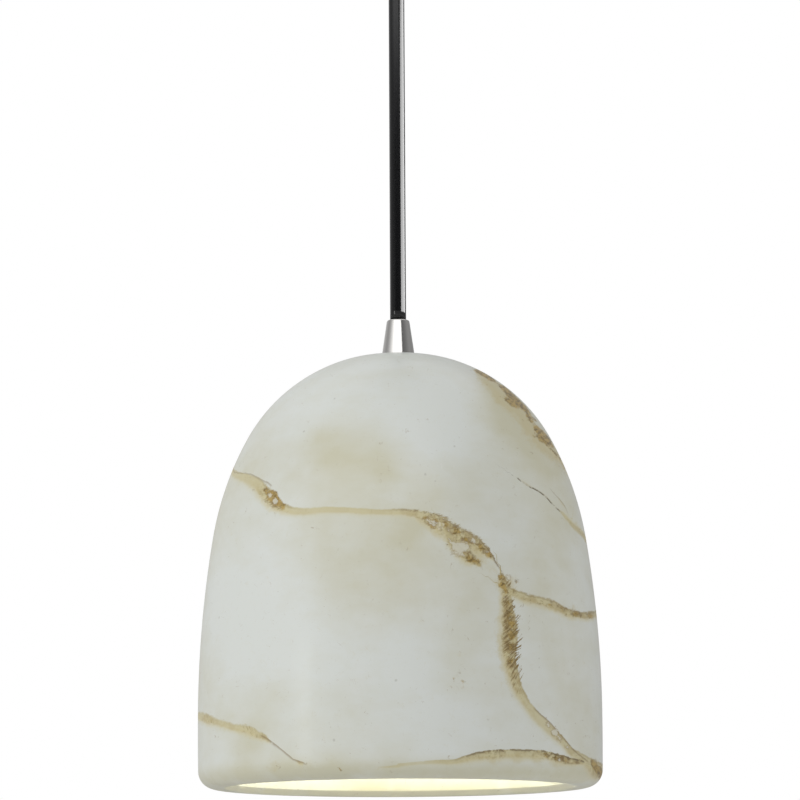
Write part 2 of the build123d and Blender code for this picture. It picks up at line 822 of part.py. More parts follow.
def socket_shell():
    """Brass shell with an inward flange against the socket's floor."""
    low_z = socket_mouth_z + shell_up
    shell = rod(shell_d, low_z, socket_floor_z)
    shell -= rod(shell_d - 2 * shell_t, low_z, socket_floor_z - shell_t)
    return shell - rod(shell_hole_d, low_z, socket_floor_z)


def terminal_lead(side, turn):
    """Conductor down the nipple and over to a terminal, with its bare end beside the screw."""
    run_z = hub_low_z - wiring_space / 2
    plate_x = side * (neck_flat_x + terminal_t + bare_d / 2)
    beside_y = (terminal_screw_d + bare_d) / 2
    strip_z = plate_top_z
    start = lead_start(turn, nipple_top_z)
    under_hub = (start[0], start[1], run_z)
    over_plate = (plate_x, beside_y, run_z)
    strip = (plate_x, beside_y, strip_z)
    jacketed = wire([start, under_hub, over_plate, strip], [lead_bend_r, lead_bend_r], lead_d)
    bare_low_z = terminal_screw_z - terminal_screw_d / 2
    return jacketed + rod(bare_d, bare_low_z, strip_z, plate_x, beside_y)


def earth_lead_low():
    """Conductor down the nipple and along under the bracket, with its bare end beside the screw."""
    run_z = hub_low_z - lead_d / 2 - slip_gap
    beside_x = -(earth_screw_d + bare_d) / 2
    screw_y = -bracket_earth_y()
    strip_y = screw_y + bracket_earth_head_d / 2 + slip_gap
    start = lead_start(earth_low_turn, nipple_top_z)
    under_hub = (start[0], start[1], run_z)
    strip = (beside_x, strip_y, run_z)
    jacketed = wire([start, under_hub, strip], [lead_tight_bend_r], lead_d)
    bare_length = strip_y - screw_y + earth_screw_d / 2
    bare = Rot(90, 0, 0) * Cylinder(bare_d / 2, bare_length, align=base)
    return jacketed + Pos(beside_x, strip_y, hub_low_z - bare_d / 2) * bare


# Bulb with a screw cap
def bulb_tip():
    """Centre contact of the bulb."""
    return taper(bulb_tip_d, bulb_tip_face_d, tip_z - bulb_tip_h, tip_z)


def bulb_insulator():
    """Dark glass ring between the contact and the cap."""
    high_z = tip_z - bulb_tip_h
    return taper(insulator_d, insulator_top_d, high_z - insulator_h, high_z)


def bulb_cap():
    """Thin metal screw cap, open below."""
    top_z = tip_z - bulb_tip_h - insulator_h
    r = bulb_cap_d / 2
    shoulder_low_z = top_z - (r - insulator_d / 2)
    outer = Polyline(
        (0, top_z),
        (insulator_d / 2, top_z),
        (r, shoulder_low_z),
        (r, cap_low_z),
        (0, cap_low_z),
        (0, top_z),
    )
    inner_r = r - bulb_cap_t
    inner = Polyline(
        (0, top_z - bulb_cap_t),
        (insulator_d / 2 - bulb_cap_t / 2, top_z - bulb_cap_t),
        (inner_r, shoulder_low_z - bulb_cap_t / 2),
        (inner_r, cap_low_z),
        (0, cap_low_z),
        (0, top_z - bulb_cap_t),
    )
    return turned([outer]) - turned([inner])


def bulb_housing():
    """White housing that flares from the cap to the globe, hollow, with a ledge for the board."""
    plug_r = bulb_cap_d / 2 - bulb_cap_t
    plug_top_z = (tip_z + cap_low_z) / 2
    neck_r = bulb_cap_d / 2 + bulb_cap_t
    neck_low_z = cap_low_z - housing_neck_h
    flare = TangentArc(
        (globe_joint_r, globe_joint_z), (neck_r, neck_low_z), tangent=(-globe_joint_h, globe_joint_r)
    )
    outer = Polyline(
        (neck_r, neck_low_z),
        (neck_r, cap_low_z),
        (plug_r, cap_low_z),
        (plug_r, plug_top_z),
        (0, plug_top_z),
        (0, globe_joint_z),
        (globe_joint_r, globe_joint_z),
    )
    body = turned([flare, outer])
    seat_z = board_low_z + board_t
    seat_r = board_d / 2 + slip_gap
    hollow_r = globe_joint_r - 2 * housing_wall - slip_gap
    throat_r = plug_r - housing_wall
    hollow = turned(
        [
            Polyline(
                (0, plug_top_z),
                (throat_r, plug_top_z),
                (throat_r, neck_low_z),
                (hollow_r, seat_z),
                (0, seat_z),
                (0, plug_top_z),
            )
        ]
    )
    return body - hollow - rod(2 * seat_r, globe_joint_z, seat_z)


def bulb_globe():
    """Frosted globe, open at the joint."""
    ball = Sphere(globe_r) - Sphere(globe_r - globe_wall)
    high = Pos(0, 0, globe_joint_h) * Cylinder(globe_r, globe_r, align=base)
    return Pos(0, 0, globe_mid_z) * (ball - high)


def led_board():
    return rod(board_d, board_low_z, board_low_z + board_t)


def leds():
    """Light-emitting chips under the board, on one circle."""
    chip = Box(led_side, led_side, led_h, align=(Align.CENTER, Align.CENTER, Align.MAX))
    places = PolarLocations(led_circle_r, led_count)
    return Compound(children=[Pos(0, 0, board_low_z) * (p * chip) for p in places])


def driver_board():
    """Supply board that stands on the bulb's board."""
    low_z = board_low_z + board_t
    half_w, half_t = driver_w / 2, driver_t / 2
    return box_between((-half_w, half_w), (-half_t, half_t), (low_z, low_z + driver_h))


def driver_parts():
    """Capacitor and choke on the supply board."""
    low_z = board_low_z + board_t + slip_gap
    y = driver_t / 2
    half_w = choke_w / 2
    capacitor = rod(capacitor_d, low_z, low_z + capacitor_h, 0, -y - capacitor_d / 2)
    choke = box_between((-half_w, half_w), (y, y + choke_t), (low_z, low_z + choke_h))
    return Compound(children=[capacitor, choke])


def save(name, shape):
    export_step(shape, f"parts/{name}.step")


def main():
    os.makedirs("parts", exist_ok=True)
    live_top, neutral_top, earth_top = top_leads()
    pieces = {
        "canopy": canopy(),
        "crossbar": crossbar(),
        "canopy_studs": canopy_studs(),
        "canopy_cap_nuts": canopy_cap_nuts(),
        "earth_screw": earth_screw(),
        "earth_ring_top": earth_ring_top(),
        "wire_cap_live": wire_cap(1),
        "wire_cap_neutral": wire_cap(-1),
        "live_lead_top": live_top,
        "neutral_lead_top": neutral_top,
        "earth_lead_top": earth_top,
        "cord_grip_body": grip_body(),
        "cord_grip_collet": grip_collet(),
        "cord_grip_nut": grip_nut(),
        "cord_grip_locknut": grip_locknut(),
        "cord_grip_washer": grip_washer(),
        "cord_top_end": cord_top_end(),
        "cord": cord(),
        "cord_low_end": cord_low_end(),
        "cord_cone": cord_cone(),
        "cone_collet": cone_collet(),
        "cone_washer": cone_washer(),
        "nipple": nipple(),
        "shade": shade(),
        "shade_gasket": bell_gasket(),
        "clamp_washer": clamp_washer(),
        "shade_locknut": bell_locknut(),
        "socket_bracket": socket_bracket(),
        "hub_set_screw": hub_set_screw(),
        "bracket_screws": bracket_screws(),
        "bracket_earth_screw": bracket_earth_screw(),
        "socket_body": socket_body(),
        "socket_shell": socket_shell(),
        "live_terminal": live_terminal(),
        "neutral_terminal": neutral_terminal(),
        "terminal_screws": terminal_screws(),
        "centre_contact": centre_contact(),
        "live_lead_low": terminal_lead(1, live_low_turn),
        "neutral_lead_low": terminal_lead(-1, neutral_low_turn),
        "earth_lead_low": earth_lead_low(),
        "bulb_tip": bulb_tip(),
        "bulb_insulator": bulb_insulator(),
        "bulb_cap": bulb_cap(),
        "bulb_housing": bulb_housing(),
        "bulb_globe": bulb_globe(),
        "led_board": led_board(),
        "leds": leds(),
        "driver_board": driver_board(),
        "driver_parts": driver_parts(),
    }
    for name, shape in pieces.items():
        save(name, shape)


main()
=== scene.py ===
import math

import bpy
import numpy as np
from bpy.props import FloatProperty, FloatVectorProperty, PointerProperty
from mathutils import Matrix, Vector


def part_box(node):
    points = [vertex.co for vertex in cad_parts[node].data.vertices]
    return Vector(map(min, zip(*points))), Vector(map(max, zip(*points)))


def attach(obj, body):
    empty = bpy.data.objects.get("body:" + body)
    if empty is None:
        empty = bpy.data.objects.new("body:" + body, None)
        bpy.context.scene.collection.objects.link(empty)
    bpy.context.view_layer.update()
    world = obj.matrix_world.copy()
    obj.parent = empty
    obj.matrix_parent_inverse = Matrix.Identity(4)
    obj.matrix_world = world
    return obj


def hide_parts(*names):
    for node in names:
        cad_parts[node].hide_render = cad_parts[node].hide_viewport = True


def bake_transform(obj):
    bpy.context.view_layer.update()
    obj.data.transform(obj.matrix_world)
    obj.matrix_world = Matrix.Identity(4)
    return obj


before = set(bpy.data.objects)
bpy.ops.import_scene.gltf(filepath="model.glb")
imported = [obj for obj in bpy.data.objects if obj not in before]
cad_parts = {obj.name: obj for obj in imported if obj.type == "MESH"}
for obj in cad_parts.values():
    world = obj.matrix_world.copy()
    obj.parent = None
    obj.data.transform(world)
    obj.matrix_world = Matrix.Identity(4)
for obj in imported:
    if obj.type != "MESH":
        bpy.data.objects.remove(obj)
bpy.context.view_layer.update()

bl_info = {
    "name": "Bell pendant light",
    "version": (1, 0, 0),
    "blender": (4, 5, 0),
    "location": "3D View > Sidebar > Bell pendant",
    "description": "Dresses the packed bell pendant light: marble bell, cord, cone, threads and studio",
    "category": "Object",
}

MM = 0.001
CROWN_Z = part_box("shade")[1].z
RIM_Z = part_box("shade")[0].z
BELL_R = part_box("shade")[1].x
CORD_D = 2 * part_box("cord")[1].x
CONE_MOUTH_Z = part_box("cord_cone")[1].z
GRIP_MOUTH_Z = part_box("cord_grip_nut")[0].z
# The nipple's upper corner: its radius is x and its top z
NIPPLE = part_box("nipple")[1]


# Settings a user would change
class MarbleSettings(bpy.types.PropertyGroup):
    pale: FloatVectorProperty(
        name="Pale stone", description="Colour of the clear, cool stone", subtype="COLOR",
        size=3, default=(0.665, 0.69, 0.655), min=0, max=1,
    )
    # The clouded colour also paints the shade on the rim's underside.
    khaki: FloatVectorProperty(
        name="Clouded stone", description="Colour of the warm clouds in the stone",
        subtype="COLOR", size=3, default=(0.56, 0.545, 0.41), min=0, max=1,
    )
    wall: FloatProperty(
        name="Wall", description="Thickness of the turned wall", subtype="DISTANCE",
        default=15.5 * MM, min=5 * MM, max=40 * MM,
    )
    polish: FloatProperty(
        name="Roughness", description="Roughness of the honed and waxed face",
        subtype="FACTOR", default=0.42, min=0, max=1,
    )


class CordSettings(bpy.types.PropertyGroup):
    jacket: FloatVectorProperty(
        name="Jacket", description="Colour of the cord's jacket", subtype="COLOR",
        size=3, default=(0.003, 0.003, 0.0035), min=0, max=1,
    )


class MetalSettings(bpy.types.PropertyGroup):
    nickel: FloatVectorProperty(
        name="Nickel", description="Colour of the satin nickel", subtype="COLOR",
        size=3, default=(0.60, 0.59, 0.575), min=0, max=1,
    )
    thread_pitch: FloatProperty(
        name="Thread pitch", description="Rise of the bulb's thread in one turn",
        subtype="DISTANCE", default=25.4 / 7 * MM, min=MM, max=8 * MM,
    )
    thread_depth: FloatProperty(
        name="Thread depth", description="Height of the rolled thread, crest to root",
        subtype="DISTANCE", default=0.7 * MM, min=0, max=2 * MM,
    )


class BulbSettings(bpy.types.PropertyGroup):
    glow: FloatVectorProperty(
        name="Glow", description="Colour of the bulb's light", subtype="COLOR",
        size=3, default=(1.0, 0.94, 0.775), min=0, max=1,
    )
    strength: FloatProperty(
        name="Strength", description="How strongly the globe glows", default=15.0, min=0, max=50,
    )


class StudioSettings(bpy.types.PropertyGroup):
    floor_z: FloatProperty(
        name="Floor", description="Height of the floor below the ceiling", subtype="DISTANCE",
        default=-2.4, max=-0.6,
    )
    sky: FloatProperty(
        name="Soft light", description="Level of the light from all round", default=0.785,
        min=0, max=2,
    )
    key: FloatProperty(
        name="Key light", description="Power of the large soft lamp on the left",
        default=14.5, min=0, max=500,
    )


# Surfaces
def mesh_piece(name, points, faces):
    """A smooth-shaded mesh object at the origin from points (n, 3) and quads (m, 4)."""
    mesh = bpy.data.meshes.new(name)
    mesh.vertices.add(len(points))
    mesh.vertices.foreach_set("co", np.asarray(points, np.float32).ravel())
    mesh.loops.add(faces.size)
    mesh.loops.foreach_set("vertex_index", faces.astype(np.int32).ravel())
    mesh.polygons.add(len(faces))
    starts = np.arange(0, faces.size, faces.shape[1], dtype=np.int32)
    mesh.polygons.foreach_set("loop_start", starts)
    mesh.update(calc_edges=True)
    mesh.polygons.foreach_set("use_smooth", np.ones(len(faces), bool))
    mesh.validate()
    piece = bpy.data.objects.new(name, mesh)
    bpy.context.scene.collection.objects.link(piece)
    return piece


def grid_quads(rows, columns, ring=True, around=True):
    """Quads of a grid, whose last row joins the first if ring is set, and its columns if around."""
    i, j = np.meshgrid(np.arange(rows - (not ring)), np.arange(columns - (not around)), indexing="ij")
    below, beside = (i + 1) % rows, (j + 1) % columns
    corners = (i * columns + j, below * columns + j, below * columns + beside, i * columns + beside)
    return np.stack(corners, -1).reshape(-1, 4)


def turned_points(radii, heights, columns):
    """Points of a turned surface: each (radius, height) goes round the axis.

    Columns run from the camera's side: x is the radius times the turn's sine, y minus its cosine.
    radii may be one value per row, or a grid with one per row and column.
    """
    turns = np.linspace(0, 2 * np.pi, columns, endpoint=False)
    radii = np.asarray(radii, float)
    if radii.ndim == 1:
        radii = np.repeat(radii[:, None], columns, axis=1)
    heights = np.repeat(np.asarray(heights, float)[:, None], columns, axis=1)
    points = np.stack((radii * np.sin(turns), -radii * np.cos(turns), heights), -1)
    return points.reshape(-1, 3)


def turned_piece(name, radii, heights, columns):
    """Closed turned solid from a closed outline of radii and heights that runs down its outside."""
    return mesh_piece(name, turned_points(radii, heights, columns), grid_quads(len(heights), columns))


def arc(centre, radius, start, end, count):
    """Points of an arc in the outline's plane, turned from start to end degrees above +radius."""
    t = np.radians(np.linspace(start, end, count))
    return np.stack((centre[0] + radius * np.cos(t), centre[1] + radius * np.sin(t)), -1)


def straight(start, end, count):
    """Evenly spaced points between two places in the outline's plane."""
    t = np.linspace(0, 1, count)[:, None]
    return (1 - t) * np.asarray(start, float) + t * np.asarray(end, float)


def by_length(line, count):
    """count points at even steps along a line of many points."""
    steps = np.linalg.norm(np.diff(line, axis=0), axis=1)
    along = np.concatenate(([0.0], np.cumsum(steps)))
    at = np.linspace(0, along[-1], count)
    return np.stack([np.interp(at, along, line[:, k]) for k in range(line.shape[1])], -1)


def smooth_step(share):
    """0 below 0 and 1 above 1, and between them three times the square less twice the cube."""
    share = np.clip(share, 0, 1)
    return share * share * (3 - 2 * share)


# The bell's outline
BELL_TURNS = np.array([0.0, 22.0, 62.0, 81.0, 90.0])
BELL_ARCS = np.array([0.68, 0.8375, 1.584])  # first three radii, of the bell's radius
WIDEST_DROP = 176.5 * MM
SKIRT_R = 1500 * MM
SKIRT_LENGTH = 28.4 * MM
RIM_OUTER_ROUND = 8.2 * MM
RIM_BEVEL = 2.8 * MM
RIM_BEVEL_ROUND = 0.6 * MM
SEAT_SPOT_R = 17 * MM
NIPPLE_HOLE_GAP = 0.5 * MM
OUTSIDE_ROWS, INSIDE_ROWS, BELL_COLUMNS = 196, 33, 396
MARKED_ROWS = 400


def bell_side(inset, count):
    """Crown, four tangent arcs and a nearly straight skirt, moved in by inset.

    Each arc turns the surface from one listed angle to the next; the last one's radius is what
    brings the side to its full drop, and the flat crown's radius is what brings it to full reach.
    """
    cos, sin = np.cos(np.radians(BELL_TURNS)), np.sin(np.radians(BELL_TURNS))
    radii = BELL_ARCS * BELL_R
    drop = np.sum(radii * (cos[:3] - cos[1:4]))
    radii = np.append(radii, (WIDEST_DROP - drop) / cos[3])
    flat_r = BELL_R - np.sum(radii * (sin[1:] - sin[:-1]))
    centre = np.array([flat_r, CROWN_Z - radii[0]])
    line = []
    for k, radius in enumerate(radii):
        if k:
            centre = centre + (radii[k - 1] - radius) * np.array([sin[k], cos[k]])
        turn, after = 90 - BELL_TURNS[k], 90 - BELL_TURNS[k + 1]
        line.append(arc(centre, radius - inset, turn, after, 60)[:-1])
    centre = centre + np.array([radii[-1] - SKIRT_R, 0.0])
    skirt_turn = math.degrees(SKIRT_LENGTH / SKIRT_R)
    line.append(arc(centre, SKIRT_R - inset, 0, -skirt_turn, 20))
    return by_length(np.concatenate(line), count), skirt_turn


def bell_outline(wall, hole_r):
    """Closed outline: crown, outside, rounded rim, bevelled mouth, inside, clamp seat and hole.

    The bevel is at 45 degrees, and its two edges are rounded.
    """
    outside, turn = bell_side(0.0, OUTSIDE_ROWS)
    inside, _ = bell_side(wall, INSIDE_ROWS)
    lean = math.radians(turn)
    middle = outside[-1] - RIM_OUTER_ROUND * np.array([math.cos(lean), -math.sin(lean)])
    outer_round = arc(middle, RIM_OUTER_ROUND, -turn, -90, 10)[1:]
    rim_z = middle[1] - RIM_OUTER_ROUND
    inner_x = inside[-1, 0]
    reach = RIM_BEVEL + RIM_BEVEL_ROUND * math.tan(math.radians(22.5))
    foot = arc((inner_x + reach, rim_z + RIM_BEVEL_ROUND), RIM_BEVEL_ROUND, 270, 225, 4)
    head = arc((inner_x + RIM_BEVEL_ROUND, rim_z + reach), RIM_BEVEL_ROUND, 225, 180, 4)
    seat_z = CROWN_Z - wall
    inside = inside[::-1]
    kept = inside[(inside[:, 0] > SEAT_SPOT_R) & (inside[:, 1] > head[-1, 1] + 2 * MM)]
    step = np.array([[SEAT_SPOT_R, kept[-1, 1]], [SEAT_SPOT_R, seat_z]])
    hole = np.array([[hole_r, seat_z], [hole_r, CROWN_Z]])
    crown = straight((hole_r, CROWN_Z), outside[0], 4)[1:-1]
    return np.concatenate((crown, outside, outer_round, foot, head, kept, step, hole))


# Veins on the bell: turn from the camera's side in degrees, drop below the crown in millimetres,
# half width in millimetres, and darkness from 0, ochre, to 1, brown
VEIN_ACROSS = [
    (-170, 64, 1.2, 0.3), (-150, 58, 1.6, 0.5), (-128, 50, 2.0, 0.3), (-104, 51, 1.6, 0.2),
    (-86, 56, 1.7, 0.3), (-76.5, 59.8, 1.7, 0.3), (-63.7, 64.9, 2.1, 0.15), (-56.7, 67.8, 2.6, 0.1),
    (-50.4, 71.4, 3.2, 0.25), (-46.3, 75.8, 3.1, 0.65), (-41.6, 80.6, 3.0, 0.95),
    (-37.8, 84.6, 2.2, 0.8), (-33.8, 87, 1.8, 0.35), (-29.1, 88.1, 1.7, 0.1), (-23.5, 88.1, 1.6, 0.1),
    (-17.2, 88.5, 1.6, 0.12), (-12, 89.3, 1.5, 0.15), (-7.3, 90, 1.4, 0.15), (-2.3, 90.3, 1.4, 0.2),
]
VEIN_PATCH = [
    (-2.3, 90.3, 1.4, 0.2), (4.1, 90.8, 1.8, 0.5), (7, 92.5, 2.6, 0.75), (9.9, 94.2, 3.6, 0.85),
    (12.2, 96.2, 4.0, 0.85), (14.5, 98.5, 3.9, 0.85), (17.2, 100.2, 3.8, 0.8), (19.5, 101.9, 3.6, 0.75),
    (21.9, 104.3, 3.4, 0.75), (24.6, 106.9, 2.6, 0.8), (26.4, 109.6, 1.4, 0.8), (28.1, 113, 0.5, 0.9),
    (29.7, 116.6, 0.4, 1.0), (30.6, 120.8, 1.0, 0.9), (31, 125.4, 1.4, 0.8),
]
VEIN_HAIRY = [
    (30.2, 120.2, 1.2, 0.9), (30.8, 123.6, 2.4, 0.9), (31.3, 128.2, 2.4, 1.0), (31.4, 132.9, 2.8, 1.0),
    (31.7, 138.5, 3.4, 1.0), (31.8, 144.1, 3.8, 1.0), (31.8, 149.7, 3.8, 1.0), (31.5, 155.3, 3.4, 1.0),
    (31.9, 160.8, 2.9, 1.0), (32.7, 166.3, 2.8, 0.9), (34, 171.8, 2.7, 0.65), (36, 177.1, 2.2, 0.35),
    (38.8, 182.5, 2.4, 0.2), (42.5, 186.7, 2.7, 0.15), (46.5, 191, 2.6, 0.2), (50.9, 195.2, 2.2, 0.35),
    (54.7, 199.1, 2.1, 0.45), (58.6, 201, 2.2, 0.5), (63.8, 202.8, 2.8, 0.55), (70.4, 205, 3.6, 0.7),
    (77, 206, 3.8, 0.7), (86, 204, 2.8, 0.5), (98, 199, 2.2, 0.35), (114, 193, 1.8, 0.3),
    (132, 189, 1.6, 0.4), (152, 190, 1.4, 0.25), (172, 195, 0.8, 0.2), (184, 199, 0.0, 0.2),
]
VEIN_RIGHT = [
    (30.4, 124.6, 1.2, 0.7), (33, 126.6, 2.2, 0.5), (35.7, 128.2, 2.0, 0.5), (39.9, 129.1, 2.0, 0.6),
    (44.7, 129.9, 2.2, 0.6), (49.7, 131.5, 2.1, 0.6), (54.5, 133.2, 1.9, 0.75),
    (60.2, 133.7, 1.7, 0.85), (69.4, 132.7, 1.6, 0.7), (81.8, 129.7, 1.7, 0.5), (96, 127, 2.0, 0.4),
    (112, 131, 2.6, 0.6), (130, 140, 3.0, 0.8), (148, 146, 2.2, 0.5), (168, 142, 1.6, 0.3),
    (188, 144, 1.5, 0.2), (206, 151, 1.8, 0.4), (222, 161, 2.4, 0.7), (238, 169, 1.8, 0.3),
    (256, 175, 1.5, 0.2),
]
VEIN_SOFT = [
    (256, 175, 1.5, 0.2), (270, 177, 1.7, 0.3), (284.9, 179.4, 2.1, 0.5), (292.9, 181.8, 2.1, 0.55),
    (300, 184.4, 1.6, 0.3), (307.5, 187.1, 1.6, 0.3), (312.1, 188.3, 2.0, 0.5),
    (316.1, 190.1, 2.0, 0.5), (319.9, 192.6, 1.4, 0.45), (323, 196, 0.5, 0.4), (325, 198.5, 0.0, 0.4),
]
VEIN_CRACK = [
    (318, 191, 0.0, 0.6), (320.7, 193.2, 0.25, 0.8), (322.8, 195.2, 0.3, 1.0), (326.9, 200, 0.3, 1.0),
    (330.1, 203.8, 0.35, 1.0), (332.6, 205.7, 0.9, 0.5), (334, 206, 0.0, 0.4),
]
VEIN_LOW = [
    (-8, 209.5, 0.4, 0.05), (-2, 208, 0.9, 0.1), (5.4, 206.5, 0.8, 0.12), (10.2, 206, 1.0, 0.15),
    (14.4, 206, 1.2, 0.2), (17.7, 204.4, 1.6, 0.35), (21.1, 203, 1.9, 0.5), (25.9, 202, 2.0, 0.6),
    (29.5, 201.5, 2.1, 0.5), (34.7, 201.5, 2.2, 0.5), (38.8, 201.4, 2.1, 0.55),
    (43.3, 201.4, 1.9, 0.75), (46.5, 202.1, 1.9, 0.95), (51, 203.1, 1.9, 0.95), (55.9, 203.6, 1.5, 0.8),
    (61.7, 203.7, 0.9, 0.5),
]
VEIN_BLOTCHED = [
    (60, 43, 0.0, 0.6), (64, 47.5, 1.6, 0.8), (68, 50.5, 2.2, 0.9), (74, 53.5, 2.6, 0.9),
    (82, 56, 3.4, 0.9), (92, 58, 4.0, 0.9), (106, 64, 4.4, 0.9), (120, 73, 3.0, 0.6),
    (134, 86, 1.6, 0.4), (142, 98, 0.0, 0.3),
]
VEIN_OLIVE = [
    (131, 138, 1.2, 0.6), (124, 122, 1.0, 0.5), (112, 108, 0.8, 0.4), (98, 99, 1.2, 0.4),
    (84.4, 94.4, 2.0, 0.7), (76.6, 92.6, 1.9, 0.5), (68.6, 90.7, 1.6, 0.3), (62.8, 87.8, 1.3, 0.2),
    (58.8, 84.7, 0.8, 0.1), (55.2, 82.1, 0.0, 0.0),
]
VEIN_FINE = [
    (68.6, 90.7, 0.0, 0.3), (62.8, 87.8, 0.4, 0.5), (58.8, 84.7, 0.5, 0.7), (55.2, 82.1, 0.5, 0.9),
    (51.7, 78.4, 0.55, 1.0), (48.2, 76, 0.5, 1.0), (44.4, 74.3, 0.6, 1.0), (41.6, 72.4, 0.55, 1.0),
    (40.1, 71.2, 0.2, 1.0),
]
VEIN_SPUR = [
    (13.3, 98.9, 1.0, 0.4), (15.1, 104, 2.2, 0.2), (17.8, 109.7, 2.6, 0.5), (20.2, 111.4, 2.5, 1.0),
    (22.5, 113.7, 1.5, 0.5), (24.2, 116.5, 0.0, 0.2),
]
VEIN_LEFT_EDGE = [
    (-96, 49, 0.0, 0.5), (-75.2, 60, 0.35, 0.5), (-58.5, 64.7, 0.35, 0.5), (-53.3, 67, 0.35, 0.6),
    (-48.1, 70.2, 0.4, 0.7), (-44.8, 72.2, 0.35, 0.8), (-42.7, 74, 0.0, 0.6),
]
VEIN_SLIVER = [
    (54.5, 72.3, 0.0, 0.3), (57.9, 76.5, 0.4, 0.4), (60.5, 78.9, 0.7, 0.5), (62.6, 81.4, 0.6, 0.4),
    (64, 84.2, 0.0, 0.3),
]
VEIN_CORNER_EDGE = [
    (38.4, 179, 0.0, 0.6), (41.2, 182.6, 0.3, 0.7), (45.3, 186.8, 0.3, 0.8), (49.2, 191.5, 0.3, 0.7),
    (55.4, 197.8, 0.3, 0.7), (60.6, 201.2, 0.3, 0.7), (67, 203.6, 0.0, 0.6),
]
VEIN_BACK = [
    (184, 66, 0.8, 0.5), (178, 78, 1.2, 0.6), (172, 90, 0.8, 0.8), (176, 104, 1.4, 0.5),
    (169, 120, 2.0, 0.8), (163, 132, 1.4, 0.5), (158, 143, 0.8, 0.4),
]
# Layers of veins, each vein with how ragged it is and how dark its crisp edge is, 0 to 1
VEIN_LAYERS = {
    "vein_across": [(VEIN_ACROSS, 0.15, 0.4), (VEIN_PATCH, 0.2, 0.75)],
    "vein_hairy": [(VEIN_HAIRY, 0.1, 0.3), (VEIN_SOFT, 0.35, 0.15)],
    "vein_right": [
        (VEIN_RIGHT, 0.25, 0.5), (VEIN_LOW, 0.0, 0.82), (VEIN_FINE, 0.0, 0.9), (VEIN_CRACK, 0.0, 0.6),
    ],
    "vein_small": [
        (VEIN_SPUR, 0.4, 0.4), (VEIN_LEFT_EDGE, 0.0, 0.45), (VEIN_SLIVER, 0.1, 0.4),
        (VEIN_CORNER_EDGE, 0.1, 0.6), (VEIN_BLOTCHED, 0.9, 0.0), (VEIN_BACK, 0.3, 0.6),
        (VEIN_OLIVE, 0.6, 0.15),
    ],
}
# Clouds in the stone: turn, drop, reach in millimetres, and strength, warm above 0 and cool below
CLOUDS = np.array([
    (-15.3, 65.6, 18, 1.3), (-25.6, 58.8, 12, 0.8), (-5.3, 70, 12, 0.6), (-32.4, 68.1, 12, 0.3),
    (-56.4, 62.2, 12, 0.5), (-45.1, 58.7, 12, 0.4), (-11.2, 84.5, 16, 0.4), (-23.7, 83.7, 14, 0.5),
    (4.1, 94.7, 10, 0.6), (-3.6, 100, 16, 0.5), (-16.6, 103.4, 18, 0.5), (9.4, 86.8, 14, 0.4),
    (-7.7, 113.2, 20, 0.4), (6.2, 120.2, 18, 0.4), (-3.3, 135.7, 16, 0.4), (-18.8, 131.6, 16, 0.3),
    (23.4, 126.2, 12, 0.5), (22.4, 149.6, 12, 0.5), (43.8, 131, 12, 0.45), (46.1, 151.9, 14, 0.5),
    (47.5, 109, 16, 0.5), (61.7, 87, 14, 0.7), (50.8, 174.7, 14, 0.3), (-45.8, 195.5, 11, 0.8),
    (-31.6, 207.3, 9, 0.8), (-60.7, 182.9, 9, 0.4), (-38.3, 176.6, 14, 0.3), (-18.1, 207.8, 10, 0.6),
    (-7.1, 200.7, 12, 0.3), (17.4, 131.3, 16, 0.3), (58.6, 198.2, 10, 0.5), (69.2, 182, 10, 0.2),
    (22.2, 78.6, 20, 0.3), (15.7, 166.1, 12, 0.4), (28.8, 176.8, 12, 0.2), (-13.9, 177.9, 14, 0.3),
    (44.3, 21.3, 6, 0.9), (44.6, 29.5, 7, 1), (47.1, 36.6, 8, 1.1), (51.1, 43.1, 8, 1.1),
    (56.9, 50.2, 9, 1.1), (60.7, 58.5, 9, 1), (47.5, 65.1, 12, 0.5), (43.8, 48.6, 10, 0.5),
    (38.5, 40.1, 10, 0.5), (7.7, 44.4, 22, -0.7), (20.1, 31.7, 18, -0.5), (-15.7, 30.6, 18, -0.4),
    (-44.8, 30.1, 16, -0.2), (-50.3, 128.4, 26, -0.7), (-30.5, 149.4, 18, -0.4),
    (-7.2, 168.9, 20, -0.15), (7.5, 177.9, 14, -0.2), (-54.3, 212.3, 7, -0.3), (19.9, 186.5, 12, -0.2),
    (0.8, 150.5, 12, -0.2), (110, 60, 24, 0.9), (140, 110, 30, 1), (176, 40, 26, -0.5),
    (-150, 110, 30, -0.6), (-120, 80, 26, 1), (-110, 150, 24, 0.8), (160, 170, 26, 0.8),
    (120, 160, 24, -0.5), (-170, 200, 20, 0.6), (90, 30, 20, 0.8), (-95, 60, 16, 0.7),
])
